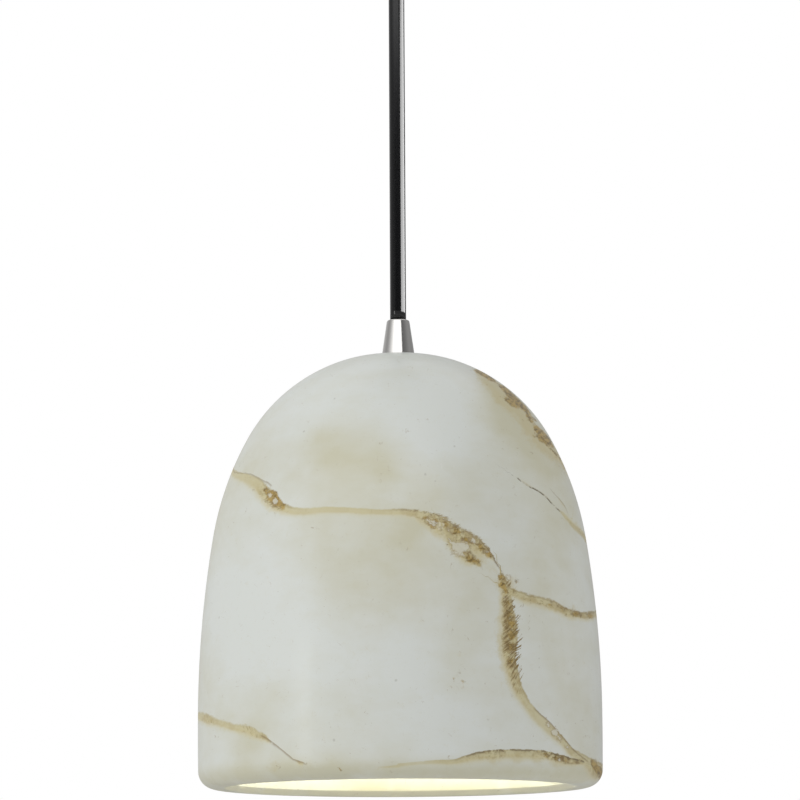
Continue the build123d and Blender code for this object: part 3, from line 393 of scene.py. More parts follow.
# Ochre stain that soaks into the stone beside the veins, and brown iron stain in them
OCHRES = np.array([
    (53.5, 13.4, 3.5, 1), (50, 17.5, 4, 1), (47.8, 21.3, 3.5, 0.8), (55.4, 18.8, 4, 1),
    (57.6, 20.7, 4, 1.1), (49.7, 25.9, 4, 1), (57.7, 23.9, 4, 1.2), (48.7, 29.9, 4, 0.9),
    (56.5, 28, 4, 1.2), (58.5, 29.7, 4, 1.2), (49.3, 34.1, 3.5, 0.8), (58.1, 32.9, 4, 1.1),
    (61.7, 34.3, 4, 1.1), (52.5, 38.7, 3.5, 0.7), (58.1, 39.7, 4, 1), (59.8, 42.5, 4, 1.1),
    (53.7, 45.2, 3.5, 0.8), (61.3, 45.7, 4, 1.2), (65.1, 47.5, 4, 1.2), (57, 51.2, 4, 0.9),
    (67.8, 49.9, 3.5, 1.1), (73.1, 51.8, 3, 0.8), (76.2, 54.1, 2.5, 0.6), (62.3, 54.6, 3.5, 0.6),
    (44.5, 30.7, 2.5, 0.5), (-60, 65.9, 2.5, 0.6), (-52.2, 70.4, 3, 0.8), (-46.9, 75.3, 3, 0.9),
    (-42.3, 81, 2.6, 0.8), (8.7, 94.5, 3, 0.9), (11.6, 97.2, 4, 1), (14.8, 101.3, 4.5, 1.1),
    (17.9, 105.4, 4.5, 1), (20.2, 110.4, 4.5, 1.1), (23.8, 112, 3.5, 0.7), (27.4, 117.3, 3, 0.5),
    (22.8, 106.4, 3.5, 0.8), (29.1, 122.8, 3, 1), (32.5, 121.5, 3, 1), (33.7, 126.1, 3, 0.8),
    (29.5, 132.7, 3, 0.6), (28.9, 140.7, 3.2, 0.9), (29.1, 148.1, 3.2, 0.9), (28.7, 154.6, 3.2, 0.9),
    (29.5, 162, 3, 0.9), (30.7, 168.3, 3, 0.7), (33.3, 173.7, 3, 0.6), (52.6, 131.6, 3, 0.6),
    (40, 129.6, 3, 0.6), (59, 133, 3, 0.8), (78.7, 92.8, 2.5, 0.9), (69.3, 89.4, 2.2, 0.8),
    (62.9, 85.3, 2, 0.5), (-66.3, 182.3, 3, 0.7), (-56.6, 186.6, 3, 0.6), (-45.4, 190.4, 3, 0.7),
    (-40.8, 194, 2.5, 0.6), (32.7, 203.1, 3, 1.0), (25.8, 204, 3, 1.0), (18.6, 206.6, 3, 0.6),
    (39.6, 203.6, 3, 1.0), (47.4, 204.8, 3, 1.0), (74.6, 207.1, 3.5, 1.1), (66.1, 206, 3, 0.8),
    (-35.8, 205.3, 3, 0.5), (-36.9, 208.9, 2.5, 0.4), (88, 58, 5, 0.9), (100, 62, 5, 0.9),
    (112, 68, 4, 0.7), (120, 136, 5, 0.8), (-126, 52, 5, 0.8), (222, 164, 5, 0.8), (170, 122, 5, 0.7),
    (68, 52, 5, 0.9), (78, 56, 5, 0.9),
])
STAINS = np.array([
    (57.8, 11.9, 3, 1.4), (59.2, 13.7, 2.8, 1.4), (58.8, 16.3, 2.4, 1.2), (61.5, 20.3, 2.6, 1.2),
    (61.9, 22.6, 2.6, 1.2), (62.1, 24.7, 2.4, 1.2), (62.9, 27.2, 2.8, 1.3), (63.9, 29.2, 2.6, 1.3),
    (55.6, 30.8, 2.4, 1.1), (53.5, 28.5, 2.2, 1), (65.6, 31.4, 2.2, 1.2), (62.5, 35.2, 2.2, 1),
    (62.3, 37.8, 1.8, 0.9), (62.9, 41.8, 2.2, 1), (65.1, 43.4, 2.6, 1.2), (69.1, 44.6, 2.8, 1.3),
    (69.9, 46.9, 2.4, 1.2), (62.4, 47.5, 2.2, 1.1), (72.7, 48.9, 1.6, 0.8), (48.6, 27.8, 1.4, 0.7),
    (46.1, 21.5, 1, 0.7), (54.4, 38.9, 1.2, 0.7), (56.9, 46.6, 1.6, 0.8), (68.8, 36, 1.6, 0.8),
    (-45.5, 75.6, 1.8, 1.2), (-42.6, 79, 2.2, 1.5), (-39.7, 81.9, 2.2, 1.5), (-37, 84.7, 1.6, 1.1),
    (-41.2, 77.7, 1.4, 1), (7.6, 92.7, 1.8, 0.9), (10.5, 94.4, 2, 0.9), (13.4, 96.7, 2, 0.9),
    (16.3, 99.8, 2, 0.9), (18.9, 102.9, 2, 0.9), (20.2, 111.9, 2.2, 1.1), (22.5, 113.5, 2, 1.1),
    (24, 106.8, 2, 1.1), (26.1, 109.9, 1.8, 1.1), (13.8, 105.7, 1.4, 0.8), (9.3, 97.4, 1.6, 0.9),
    (16.9, 98.8, 1.4, 0.9), (21, 104.2, 1.6, 1), (29.6, 119.9, 1.8, 1), (30.1, 123.7, 2, 1.1),
    (30.9, 127.3, 2.2, 0.9), (34.6, 121.7, 1.6, 0.9), (34, 126.5, 1.4, 0.8), (31.4, 132, 2.2, 0.7),
    (31.6, 136.7, 2.4, 0.8), (32.1, 141.7, 2.6, 0.9), (32.3, 147.3, 2.6, 0.9), (32.2, 152.5, 2.4, 0.8),
    (31.8, 158.1, 2.2, 0.8), (33.1, 163.5, 2, 0.5), (47.1, 131.4, 2, 0.6), (60.1, 133.7, 2.2, 1),
    (71.4, 132.5, 2, 1), (52.5, 132.5, 1.8, 0.6), (43.3, 201.9, 1.8, 0.9), (47.4, 203, 1.8, 0.9),
    (52.3, 203.9, 1.6, 0.8), (77.2, 206.3, 2.4, 1.4), (69.4, 204.2, 1.8, 1.4), (82.3, 209.7, 1.8, 1.4),
    (-65.5, 182.9, 1.6, 0.5), (-44.2, 190.5, 1.4, 0.5), (-88.9, 212.9, 1.3, 0.8),
    (-16, 209.6, 1.4, 0.8), (-34.8, 206.7, 1.8, 0.5), (15.1, 166.6, 1.7, 0.65), (13.5, 163, 1.1, 0.5),
    (17.4, 169.3, 1.4, 0.65), (12.6, 173.1, 1.1, 0.6), (5.1, 81.2, 0.9, 0.5), (9.6, 165, 0.9, 0.6),
    (85.3, 92.9, 1.8, 1), (9.6, 120.5, 1.2, 0.6), (6.2, 126.3, 1.2, 0.5), (14.6, 168.5, 1, 0.75),
    (16.2, 165.2, 0.9, 0.7), (16.8, 172, 1, 0.7), (14, 171.3, 0.8, 0.8), (72.7, 205.8, 1.6, 1.2),
    (86.2, 207.4, 1.8, 1.3), (67.6, 202.5, 1.2, 0.9), (43.6, 184.6, 0.8, 0.8), (46.9, 188.2, 0.9, 0.9),
    (49.6, 191.8, 0.9, 0.9), (51.8, 194.6, 0.8, 0.8), (92, 58, 3, 0.9), (100, 62, 3.2, 1),
    (112, 131, 3, 1), (126, 138, 2.6, 0.9), (-128, 50, 2.4, 1), (-120, 50, 2, 0.8), (222, 161, 2.6, 1),
    (214, 156, 2, 0.7), (169, 122, 2.4, 0.9),
])
# Crusts of white spar in the veins: turn, drop, reach in millimetres, and strength
CRUSTS = np.array([
    (9.9, 95.9, 2, 0.85), (8.4, 94.1, 1, 0.8), (14.2, 99, 1.2, 0.8), (16.4, 107.4, 3, 0.75),
    (19.1, 106.3, 2.6, 0.7), (21.7, 103.2, 1.6, 0.9), (14.7, 103.7, 1.4, 0.8), (-40.5, 81.7, 1.6, 1.2),
    (-43.2, 78.4, 1.2, 1), (25.8, 108.5, 1.2, 0.9), (30.5, 130.2, 1, 0.8), (58.4, 132.1, 0.9, 0.6),
    (-44.6, 191.4, 1, 0.6), (48.7, 203.3, 1.2, 0.8), (32.2, 120.1, 1.4, 0.9), (18.1, 110.6, 1.6, 0.6),
    (44.4, 187.6, 1.2, 0.9), (46.9, 191, 1.7, 1.1), (49.2, 193.8, 1.2, 0.9), (52.4, 197, 0.9, 0.8),
    (112, 131, 2.4, 1), (104, 64, 2.6, 1), (-128, 50, 2, 1), (222, 161, 2.2, 1),
])
# Painted shade at the rim: darker, warmer stone where the rim's underside is in shade, stronger at the
# back. The drops it starts and is full at, its strength, and what the back adds
RIM_SHADE_DROPS = (201.0, 211.0)
RIM_SHADE, BACK_RIM_SHADE = 1.1, 1.3
# The stone is bedded front to back, so its marks run longer that way
BEDDING = (1.0, 0.2, 1.0)
CLOUD_BEDDING = (1.0, 0.45, 1.0)
# Millimetres: the distance kept where no vein is near, how far a vein is looked for, where it
# ends, and how far before its end it starts to fade
NO_VEIN, VEIN_REACH, VEIN_END, VEIN_FADE = 40.0, 16, 15, 4
ROUTE_STEPS = 14
DISTANCES_AT_ONCE = 4_000_000


def on_bell(turns, drops):
    """Points on the bell's outside at turns in degrees and drops in millimetres."""
    side, _ = bell_side(0.0, MARKED_ROWS)
    radii = np.interp(np.asarray(drops) * MM, CROWN_Z - side[:, 1], side[:, 0])
    t = np.radians(turns)
    return np.stack((radii * np.sin(t), -radii * np.cos(t), CROWN_Z - np.asarray(drops) * MM), -1)


def smooth_route(route, count):
    """Curve through the route's rows: each span is the cubic whose end slopes are the slopes
    between the neighbouring rows, halved, with count points to a span."""
    rows = np.asarray(route, float)
    before = np.concatenate((rows[:1], rows[:-1]))[:-1]
    after = np.concatenate((rows[1:], rows[-1:]))[1:]
    a, b = rows[:-1], rows[1:]
    u = np.linspace(0, 1, count, endpoint=False)[:, None, None]
    slope_a, slope_b = (b - before) / 2, (after - a) / 2
    curve = (
        (2 * u**3 - 3 * u**2 + 1) * a + (u**3 - 2 * u**2 + u) * slope_a
        + (3 * u**2 - 2 * u**3) * b + (u**3 - u**2) * slope_b
    )
    return np.concatenate((curve.transpose(1, 0, 2).reshape(-1, rows.shape[1]), rows[-1:]))


def vein_field(points, routes):
    """For each point: the nearest vein's side distance, half width and edge darkness, and how far
    along it the point is, how dark and how ragged the vein is (lengths in millimetres).

    The side distance is the distance to the vein's centre line, positive to the left of its run.
    """
    side = np.full(len(points), NO_VEIN)
    width, along, dark, ragged, edge = np.zeros((5, len(points)))
    for route, raggedness, edge_share in routes:
        curve = smooth_route(route, ROUTE_STEPS)
        line = on_bell(curve[:, 0], curve[:, 1])
        tangent = np.gradient(line, axis=0)
        tangent /= np.linalg.norm(tangent, axis=1)[:, None]
        length = np.concatenate(([0.0], np.cumsum(np.linalg.norm(np.diff(line, axis=0), axis=1))))
        outward = line * [1, 1, 0]
        outward /= np.linalg.norm(outward, axis=1)[:, None]
        across = np.cross(outward, tangent)
        low, high = line.min(0) - VEIN_REACH * MM, line.max(0) + VEIN_REACH * MM
        near = np.flatnonzero(np.all((points > low) & (points < high), axis=1))
        # The points are taken in parts, so that the table of their distances stays small
        parts = max(1, len(near) * len(line) // DISTANCES_AT_ONCE)
        for part in np.array_split(near, parts):
            gaps = ((points[part, None, :] - line[None]) ** 2).sum(-1)
            k = gaps.argmin(1)
            gap = points[part] - line[k]
            distance = np.sqrt(gaps[np.arange(len(part)), k]) / MM
            signed = np.copysign(distance, (gap * across[k]).sum(-1))
            closer = distance < np.abs(side[part])
            taken = part[closer]
            side[taken] = signed[closer]
            width[taken] = np.clip(curve[k[closer], 2], 0, None)
            dark[taken] = curve[k[closer], 3]
            ragged[taken], edge[taken] = raggedness, edge_share
            along[taken] = (length[k] + (gap * tangent[k]).sum(-1))[closer] / MM
    width *= np.clip((VEIN_END - np.abs(side)) / VEIN_FADE, 0, 1)
    return np.stack((side, width, edge), -1), np.stack((along, dark, ragged), -1)


def spots_field(points, spots, bedding=BEDDING):
    """Sum of spots: each is its strength times the bell curve of the distance over its reach.

    Distances along the bedding count less."""
    middles = on_bell(spots[:, 0], spots[:, 1])
    field = np.zeros(len(points))
    for middle, (reach, strength) in zip(middles, spots[:, 2:]):
        gaps = (points - middle) * bedding
        field += strength * np.exp(-(gaps**2).sum(-1) / (reach * MM) ** 2)
    return field


def clouds_and_rim_shade(points):
    """The clouds, and painted shade at the rim.

    The rim's painted shade is a smooth step of the drop below the crown near the mouth. It is
    stronger at the back. It fades out from 12 to 15 mm within the bell's radius, so the inside has
    none but in its last 2.4 to 3.4 mm above the rim.
    """
    low, high = RIM_SHADE_DROPS
    step = smooth_step(((CROWN_Z - points[:, 2]) / MM - low) / (high - low))
    outer = np.clip((np.hypot(points[:, 0], points[:, 1]) - BELL_R) / MM / 3 + 5, 0, 1)
    outer = np.maximum(outer, np.clip((RIM_Z - points[:, 2]) / MM + 3.4, 0, 1))
    back = np.clip(points[:, 1] / BELL_R, 0, 1)
    # Painted shade: the rim's underside and bevel go toward khaki, most at the back.
    rim = (RIM_SHADE + BACK_RIM_SHADE * back) * outer * step
    return spots_field(points, CLOUDS, CLOUD_BEDDING) + rim


def store(piece, name, values):
    """Keeps one number or vector per vertex in the mesh."""
    kind = "FLOAT" if values.ndim == 1 else "FLOAT_VECTOR"
    data = piece.data.attributes.new(name, kind, "POINT").data
    data.foreach_set("value" if kind == "FLOAT" else "vector", values.astype(np.float32).ravel())


class Nodes:
    """Adds nodes to one tree and gives back their sockets.

    An input is a number, a colour, a vector or another node's socket.
    """

    def __init__(self, tree):
        self.tree = tree

    def feed(self, node, **inputs):
        """Sets or links a node's inputs: _0 is the first one, and _ stands for a space."""
        for name, value in inputs.items():
            socket = node.inputs[int(name[1:]) if name[1:].isdigit() else name.replace("_", " ")]
            if isinstance(value, bpy.types.NodeSocket):
                self.tree.links.new(value, socket)
            elif socket.type == "RGBA":
                socket.default_value = (*value, 1)[:4]
            else:
                socket.default_value = value
        return node

    def add(self, kind, settings=None, **inputs):
        """A node with its settings and inputs."""
        made = self.tree.nodes.new(kind)
        for name, value in (settings or {}).items():
            setattr(made, name, value)
        return self.feed(made, **inputs).outputs

    def place(self):
        """Object coordinates, in metres."""
        return self.add("ShaderNodeTexCoord")["Object"]

    def stretched(self, place, scale):
        """place scaled by a vector, for a grain that runs one way."""
        return self.add("ShaderNodeVectorMath", {"operation": "MULTIPLY"}, _0=place, _1=scale)[0]

    def stored(self, name, output="Fac"):
        """A number or vector that the mesh keeps."""
        return self.add("ShaderNodeAttribute", {"attribute_name": name})[output]

    def parts(self, vector):
        """A vector's three numbers."""
        return self.add("ShaderNodeSeparateXYZ", Vector=vector)

    def maths(self, operation, first, second=0.0, third=0.0, clamp=False):
        """One operation on up to three numbers."""
        settings = {"operation": operation, "use_clamp": clamp}
        return self.add("ShaderNodeMath", settings, _0=first, _1=second, _2=third)[0]

    def times(self, first, *others):
        """The product of numbers."""
        for other in others:
            first = self.maths("MULTIPLY", first, other)
        return first

    def scaled(self, value, by, plus, clamp=False):
        """value times by, plus plus."""
        return self.maths("MULTIPLY_ADD", value, by, plus, clamp)

    def less(self, first, second):
        """first less second."""
        return self.maths("SUBTRACT", first, second)

    def ramp(self, value, low, high, to_low=0.0, to_high=1.0):
        """Smooth step of value from low..high to to_low..to_high, held at the ends."""
        return self.add(
            "ShaderNodeMapRange", {"interpolation_type": "SMOOTHSTEP"}, Value=value, From_Min=low,
            From_Max=high, To_Min=to_low, To_Max=to_high,
        )[0]

    def mix(self, share, first, second):
        """Colour mix of first and second by share."""
        settings = {"data_type": "RGBA", "clamp_factor": True}
        return self.add("ShaderNodeMix", settings, _0=share, _6=first, _7=second)[2]

    def noise(self, place, scale, detail=2.0, roughness=0.5, distortion=0.0, output=0):
        """Noise from 0 to 1, or of colours where output asks for them; scale is in waves a metre."""
        return self.add(
            "ShaderNodeTexNoise", Vector=place, Scale=scale, Detail=detail, Roughness=roughness,
            Distortion=distortion,
        )[output]

    def cells(self, place, scale, feature="F1"):
        """Cell pattern of scale cells a metre."""
        return self.add("ShaderNodeTexVoronoi", {"feature": feature}, Vector=place, Scale=scale)

    def chance(self, cells):
        """One number per cell, from 0 to 1."""
        return self.add("ShaderNodeSeparateColor", Color=cells["Color"])[0]

    def group(self, name, **inputs):
        """A node group by its name."""
        return self.add("ShaderNodeGroup", {"node_tree": bpy.data.node_groups[name]}, **inputs)


def node_group(name, inputs, outputs):
    """A new group with named sockets, each of the kind Float, Vector or Color: its nodes, its
    inputs and its output node."""
    tree = bpy.data.node_groups.new(name, "ShaderNodeTree")
    for in_out, sockets in (("INPUT", inputs), ("OUTPUT", outputs)):
        for label, kind in sockets.items():
            tree.interface.new_socket(label, in_out=in_out, socket_type="NodeSocket" + kind)
    return Nodes(tree), tree.nodes.new("NodeGroupInput").outputs, tree.nodes.new("NodeGroupOutput")


def new_material(name):
    """Empty node material, its shader and its nodes."""
    material = bpy.data.materials.new(name)
    material.use_nodes = True
    return material, material.node_tree.nodes["Principled BSDF"], Nodes(material.node_tree)


# Colours across a vein, of its chips of spar, and of the ink of its edge, fine and strong
VEIN_HAZE, VEIN_CORE, VEIN_FRINGE = (0.60, 0.58, 0.40), (0.535, 0.47, 0.245), (0.58, 0.50, 0.275)
VEIN_CLOTS, VEIN_GRAIN = (0.35, 0.25, 0.092), (0.185, 0.12, 0.038)
CHIP_EDGE, CHIP_FACE = (0.25, 0.17, 0.075), (0.70, 0.67, 0.55)
FINE_INK, STRONG_INK = (0.23, 0.16, 0.07), (0.12, 0.095, 0.05)
CHIP_SCALE = 300.0
CHIP_BEND = 0.006


def vein_group():
    """One layer of veins laid over a colour.

    Across the vein, from its crisp side: a thin dark line, the ochre core with brown grain, pale
    chips where it is wide, an amber fringe, and a haze that fades out on its soft side.
    """
    n, given, out = node_group(
        "Stone vein",
        {
            "Colour": "Color", "Route": "Vector", "Tone": "Vector", "Hair": "Float", "Lean": "Float",
            "Chips": "Float",
        },
        {"Colour": "Color", "Core": "Float"},
    )
    place = n.stretched(n.place(), BEDDING)
    side, width, edge = n.parts(given["Route"])
    along, dark, ragged = n.parts(given["Tone"])
    # The centre line sways, more where the vein is wide and ragged
    slow = n.less(n.noise(place, 140, 3, 0.6), 0.5)
    quick = n.less(n.noise(place, 620, 5, 0.75), 0.5)
    sway = n.scaled(quick, n.scaled(dark, 1.1, 0.4), slow)
    sway = n.times(sway, n.scaled(width, 0.8, 0.25), n.scaled(ragged, 2.6, 0.7))
    moved = n.maths("ADD", side, sway)
    across = n.maths("DIVIDE", moved, n.maths("MAXIMUM", width, 0.05))
    # Hairs stand out past the crisp side of the dark stretches
    slant = n.scaled(side, given["Lean"], along)
    streaks = n.add("ShaderNodeCombineXYZ", X=slant, Y=n.times(side, 0.16), Z=width)[0]
    streak = n.noise(streaks, 0.85, 3, 0.75)
    hairs = n.times(n.ramp(streak, 0.46, 0.66), given["Hair"], n.ramp(dark, 0.6, 1.0))
    limit = n.scaled(hairs, 1.0, 0.85)
    here, thick = n.ramp(width, 0.02, 0.2), n.ramp(width, 0.4, 1.1)
    soften = n.scaled(ragged, 0.9, 0.12)
    crisp = n.times(n.ramp(n.less(across, limit), n.times(soften, -1.0), soften, 1.0, 0.0), here)
    # How much of each band of the vein is here
    haze = n.times(crisp, n.ramp(moved, n.scaled(width, -1.7, -1.6), n.times(width, -0.2)), thick)
    core = n.times(crisp, n.ramp(across, -1.45, -0.5), thick)
    below = n.less(moved, n.times(width, limit))
    least_gap = n.scaled(edge, 0.3, 0.155)
    gaps = n.ramp(n.noise(place, 260, 4, 0.75), least_gap, n.maths("ADD", least_gap, 0.10))
    line = n.times(crisp, n.ramp(below, -1.3, -0.35), gaps, n.ramp(dark, 0.05, 0.55))
    fringe = n.times(crisp, n.ramp(across, -2.2, -0.9), n.ramp(across, -0.9, 0.1, 1.0, 0.0), thick)
    clots = n.times(core, dark, n.ramp(n.noise(place, 190, 3, 0.6), 0.42, 0.58))
    mottle = n.noise(place, 430, 6, 0.75)
    mottle = n.scaled(n.less(streak, mottle), n.times(given["Hair"], 0.75), mottle)
    least = n.scaled(dark, -0.17, 0.62)
    grain = n.times(core, dark, n.ramp(mottle, least, n.maths("ADD", least, 0.10)))
    # Chips are some cells of a bent cell pattern
    bend = n.noise(place, CHIP_SCALE, 4.0, output="Color")
    bent = n.add(
        "ShaderNodeVectorMath", {"operation": "MULTIPLY_ADD"}, _0=bend, _1=(CHIP_BEND,) * 3, _2=place,
    )[0]
    chance = n.chance(n.cells(bent, CHIP_SCALE))
    inside = n.ramp(n.cells(bent, CHIP_SCALE, "DISTANCE_TO_EDGE")["Distance"], 0.03, 0.16)
    picked = n.times(n.ramp(chance, 0.80, 0.86), given["Chips"], n.ramp(width, 2.0, 3.0), here)
    picked = n.times(picked, n.ramp(across, -1.5, -0.9), n.ramp(across, 0.75, 0.3))
    colour = given["Colour"]
    for share, paint in (
        (n.times(haze, n.scaled(dark, 0.35, 0.45)), VEIN_HAZE),
        (n.times(core, n.scaled(dark, 0.15, 0.62)), VEIN_CORE),
        (n.times(fringe, dark, 0.65), VEIN_FRINGE),
        (n.times(clots, 0.65), VEIN_CLOTS),
        (n.times(grain, 0.88), VEIN_GRAIN),
        (n.times(picked, 0.5), n.mix(inside, CHIP_EDGE, CHIP_FACE)),
        (n.times(line, edge), n.mix(n.ramp(edge, 0.65, 0.95), FINE_INK, STRONG_INK)),
    ):
        colour = n.mix(share, colour, paint)
    n.feed(out, Colour=colour, Core=core)


def wear_group():
    """Colour, roughness and height that vary finely over a surface.

    The share of worn colour is that of broad patches plus that of fine grain, times the amount.
    """
    n, given, out = node_group(
        "Fine wear",
        {
            "Colour": "Color", "Worn colour": "Color", "Place": "Vector", "Scale": "Float",
            "Amount": "Float", "Roughness": "Float",
        },
        {"Colour": "Color", "Roughness": "Float", "Height": "Float"},
    )
    place, scale, amount = given["Place"], given["Scale"], given["Amount"]
    patches = n.noise(place, n.times(scale, 0.12), 4, 0.6)
    grain = n.noise(place, scale, 5, 0.65)
    worn = n.times(n.ramp(patches, 0.42, 0.72), amount)
    worn = n.maths("ADD", worn, n.times(n.ramp(grain, 0.5, 0.8), amount), clamp=True)
    change = n.times(n.less(n.maths("ADD", patches, grain), 1.0), amount)
    n.feed(
        out, Colour=n.mix(worn, given["Colour"], given["Worn colour"]),
        Roughness=n.scaled(change, 0.5, given["Roughness"], clamp=True), Height=grain,
    )


def worn_material(
    name, colour, worn, roughness, metallic=0.0, scale=400.0, amount=0.4, grain=None, bump=0.02,
    coat=0.0,
):
    """Material with fine wear; grain stretches the pattern along one axis."""
    material, shader, n = new_material(name)
    place = n.stretched(n.place(), grain) if grain else n.place()
    wear = n.group(
        "Fine wear", Place=place, Colour=colour, Worn_colour=worn, Scale=scale, Amount=amount,
        Roughness=roughness,
    )
    height = n.add("ShaderNodeBump", Strength=0.6, Distance=bump * MM, Height=wear["Height"])
    n.feed(
        shader, Base_Color=wear["Colour"], Roughness=wear["Roughness"], Normal=height[0],
        Metallic=metallic, Coat_Weight=coat,
    )
    return material


# Colours of the stone's marks
MILK, SOAKED_OCHRE = (0.69, 0.70, 0.67), (0.53, 0.465, 0.26)
SCRATCH, SPECK = (0.74, 0.74, 0.70), (0.33, 0.32, 0.27)
DARK_STAIN, PALE_STAIN = (0.145, 0.09, 0.015), (0.43, 0.295, 0.075)
CRUST_RIM, SPAR = (0.28, 0.20, 0.09), (0.61, 0.595, 0.495)
# Layers of veins: how hairy, how the hairs lean, and how many chips of spar
VEIN_MANNERS = {
    "vein_across": {"Hair": 0.45, "Lean": -1.1, "Chips": 1.0},
    "vein_hairy": {"Hair": 1.0, "Lean": 0.7, "Chips": 0.0},
    "vein_right": {"Hair": 0.1, "Lean": 0.5, "Chips": 0.0},
    "vein_small": {"Hair": 0.1, "Lean": 0.5, "Chips": 1.0},
}


def marble_material(pale, khaki, polish):
    """Honed marble: cool stone and warm clouds, darkened at the rim with painted shade, with four
    layers of veins, specks and scratches.
    """
    material, shader, n = new_material("honed_marble")
    place = n.place()
    bedded = n.stretched(place, BEDDING)

    def broken_up(name, scale, detail, roughness, distortion, by, less):
        """A stored field made ragged: noise times by, plus the field less a number."""
        field = n.less(n.stored(name), less)
        return n.scaled(n.noise(bedded, scale, detail, roughness, distortion), by, field)

    drift = n.less(n.noise(place, 16, 4, 0.55, 0.4), 0.5)
    wisp = n.less(n.noise(n.stretched(place, (1, 1, 2.2)), 55, 5, 0.6, 0.15), 0.5)
    broken = n.ramp(n.noise(place, 24, 5, 0.55, 0.2), 0.36, 0.64, 0.7, 1.3)
    # The stored clouds carry the painted rim shade too, so warm here is partly painted shade.
    warm = n.scaled(n.times(n.stored("clouds_rim_shade"), broken), 0.62, 0.22)
    warm = n.scaled(wisp, 0.6, n.scaled(drift, 1.0, warm), clamp=True)
    colour = n.mix(warm, pale, khaki)
    colour = n.mix(n.ramp(n.noise(place, 34, 3, 0.5), 0.54, 0.75, 0.0, 0.25), colour, MILK)
    soak = broken_up("ochre", 300, 8, 0.82, 0.6, 3.4, 1.7)
    colour = n.mix(n.ramp(soak, 0.15, 1.4, 0.0, 0.74), colour, SOAKED_OCHRE)
    relief = None
    for name, manners in VEIN_MANNERS.items():
        route, tone = n.stored(name, "Vector"), n.stored(name + "_tone", "Vector")
        vein = n.group("Stone vein", Colour=colour, Route=route, Tone=tone, **manners)
        colour, core = vein["Colour"], vein["Core"]
        relief = core if relief is None else n.maths("MAXIMUM", relief, core)
    stain = broken_up("stain", 400, 7, 0.8, 0.4, 2.6, 1.35)
    tone = n.mix(n.ramp(n.noise(bedded, 560, 5, 0.7), 0.38, 0.60), DARK_STAIN, PALE_STAIN)
    colour = n.mix(n.ramp(stain, 0.38, 0.85, 0.0, 0.85), colour, tone)
    crust = broken_up("crust", 360, 8, 0.85, 0.8, 2.6, 1.3)
    spar = n.ramp(crust, 0.48, 0.60)
    colour = n.mix(n.times(n.less(n.ramp(crust, 0.28, 0.42), spar), 0.55), colour, CRUST_RIM)
    colour = n.mix(n.times(spar, 0.8), colour, SPAR)
    colour = specks(n, place, colour, 70, 0.80, 0.075, 0.40)
    colour = specks(n, place, colour, 230, 0.88, 0.16, 0.32, patches=22)
    scratch = n.ramp(n.noise(n.stretched(place, (1, 1, 0.10)), 520, 2, 0.5), 0.72, 0.80)
    scratch = n.times(scratch, n.ramp(n.noise(place, 40, 2), 0.52, 0.62), 0.32)
    satin = n.noise(place, 240, 4, 0.6)
    rough = n.ramp(satin, 0.3, 0.7, polish - 0.05, polish + 0.06)
    height = n.scaled(relief, -0.5, n.times(satin, 0.25))
    bump = n.add("ShaderNodeBump", Strength=0.5, Distance=0.10 * MM, Height=height)[0]
    n.feed(
        shader, Base_Color=n.mix(scratch, colour, SCRATCH), Roughness=n.scaled(relief, 0.10, rough),
        Normal=bump, Specular_IOR_Level=0.35, Coat_Weight=0.15, Coat_Roughness=0.15,
    )
    return material


def specks(n, place, colour, scale, rarity, size, share, patches=None):
    """Small dark grains in some cells of a cell pattern, everywhere or in patches."""
    cells = n.cells(place, scale)
    ragged = n.scaled(n.noise(place, 900, 3), size * 0.6, cells["Distance"])
    kind = n.ramp(n.chance(cells), rarity, rarity + 0.02)
    dot = n.times(n.ramp(ragged, size * 0.6, size * 1.1, 1.0, 0.0), kind)
    if patches:
        dot = n.times(dot, n.ramp(n.noise(place, patches, 3), 0.54, 0.62))
    return n.mix(n.times(dot, share), colour, SPECK)


def glow_material(name, colour, strength, base):
    """Frosted cover lit from inside, with a faint mottle in its glow and its own colour."""
    material, shader, n = new_material(name)
    mottle = n.noise(n.place(), 220, 3)
    n.feed(
        shader, Emission_Color=n.mix(n.ramp(mottle, 0.3, 0.7, 0.0, 0.12), colour, (1, 1, 1)),
        Base_Color=n.mix(n.ramp(mottle, 0.3, 0.7), base, tuple(0.96 * c for c in base)),
        Emission_Strength=strength, Roughness=0.6,
    )
    return material


def dress(nodes, material):
    """Puts a material on CAD nodes."""
    for name in nodes:
        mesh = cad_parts[name].data
        mesh.materials.clear()
        mesh.materials.append(material)


def finish_piece(piece, material, body, slot, *replaced):
    """Gives a piece its material, its body and the CAD nodes it stands for."""
    piece.data.materials.append(material)
    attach(piece, body)
    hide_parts(*replaced)


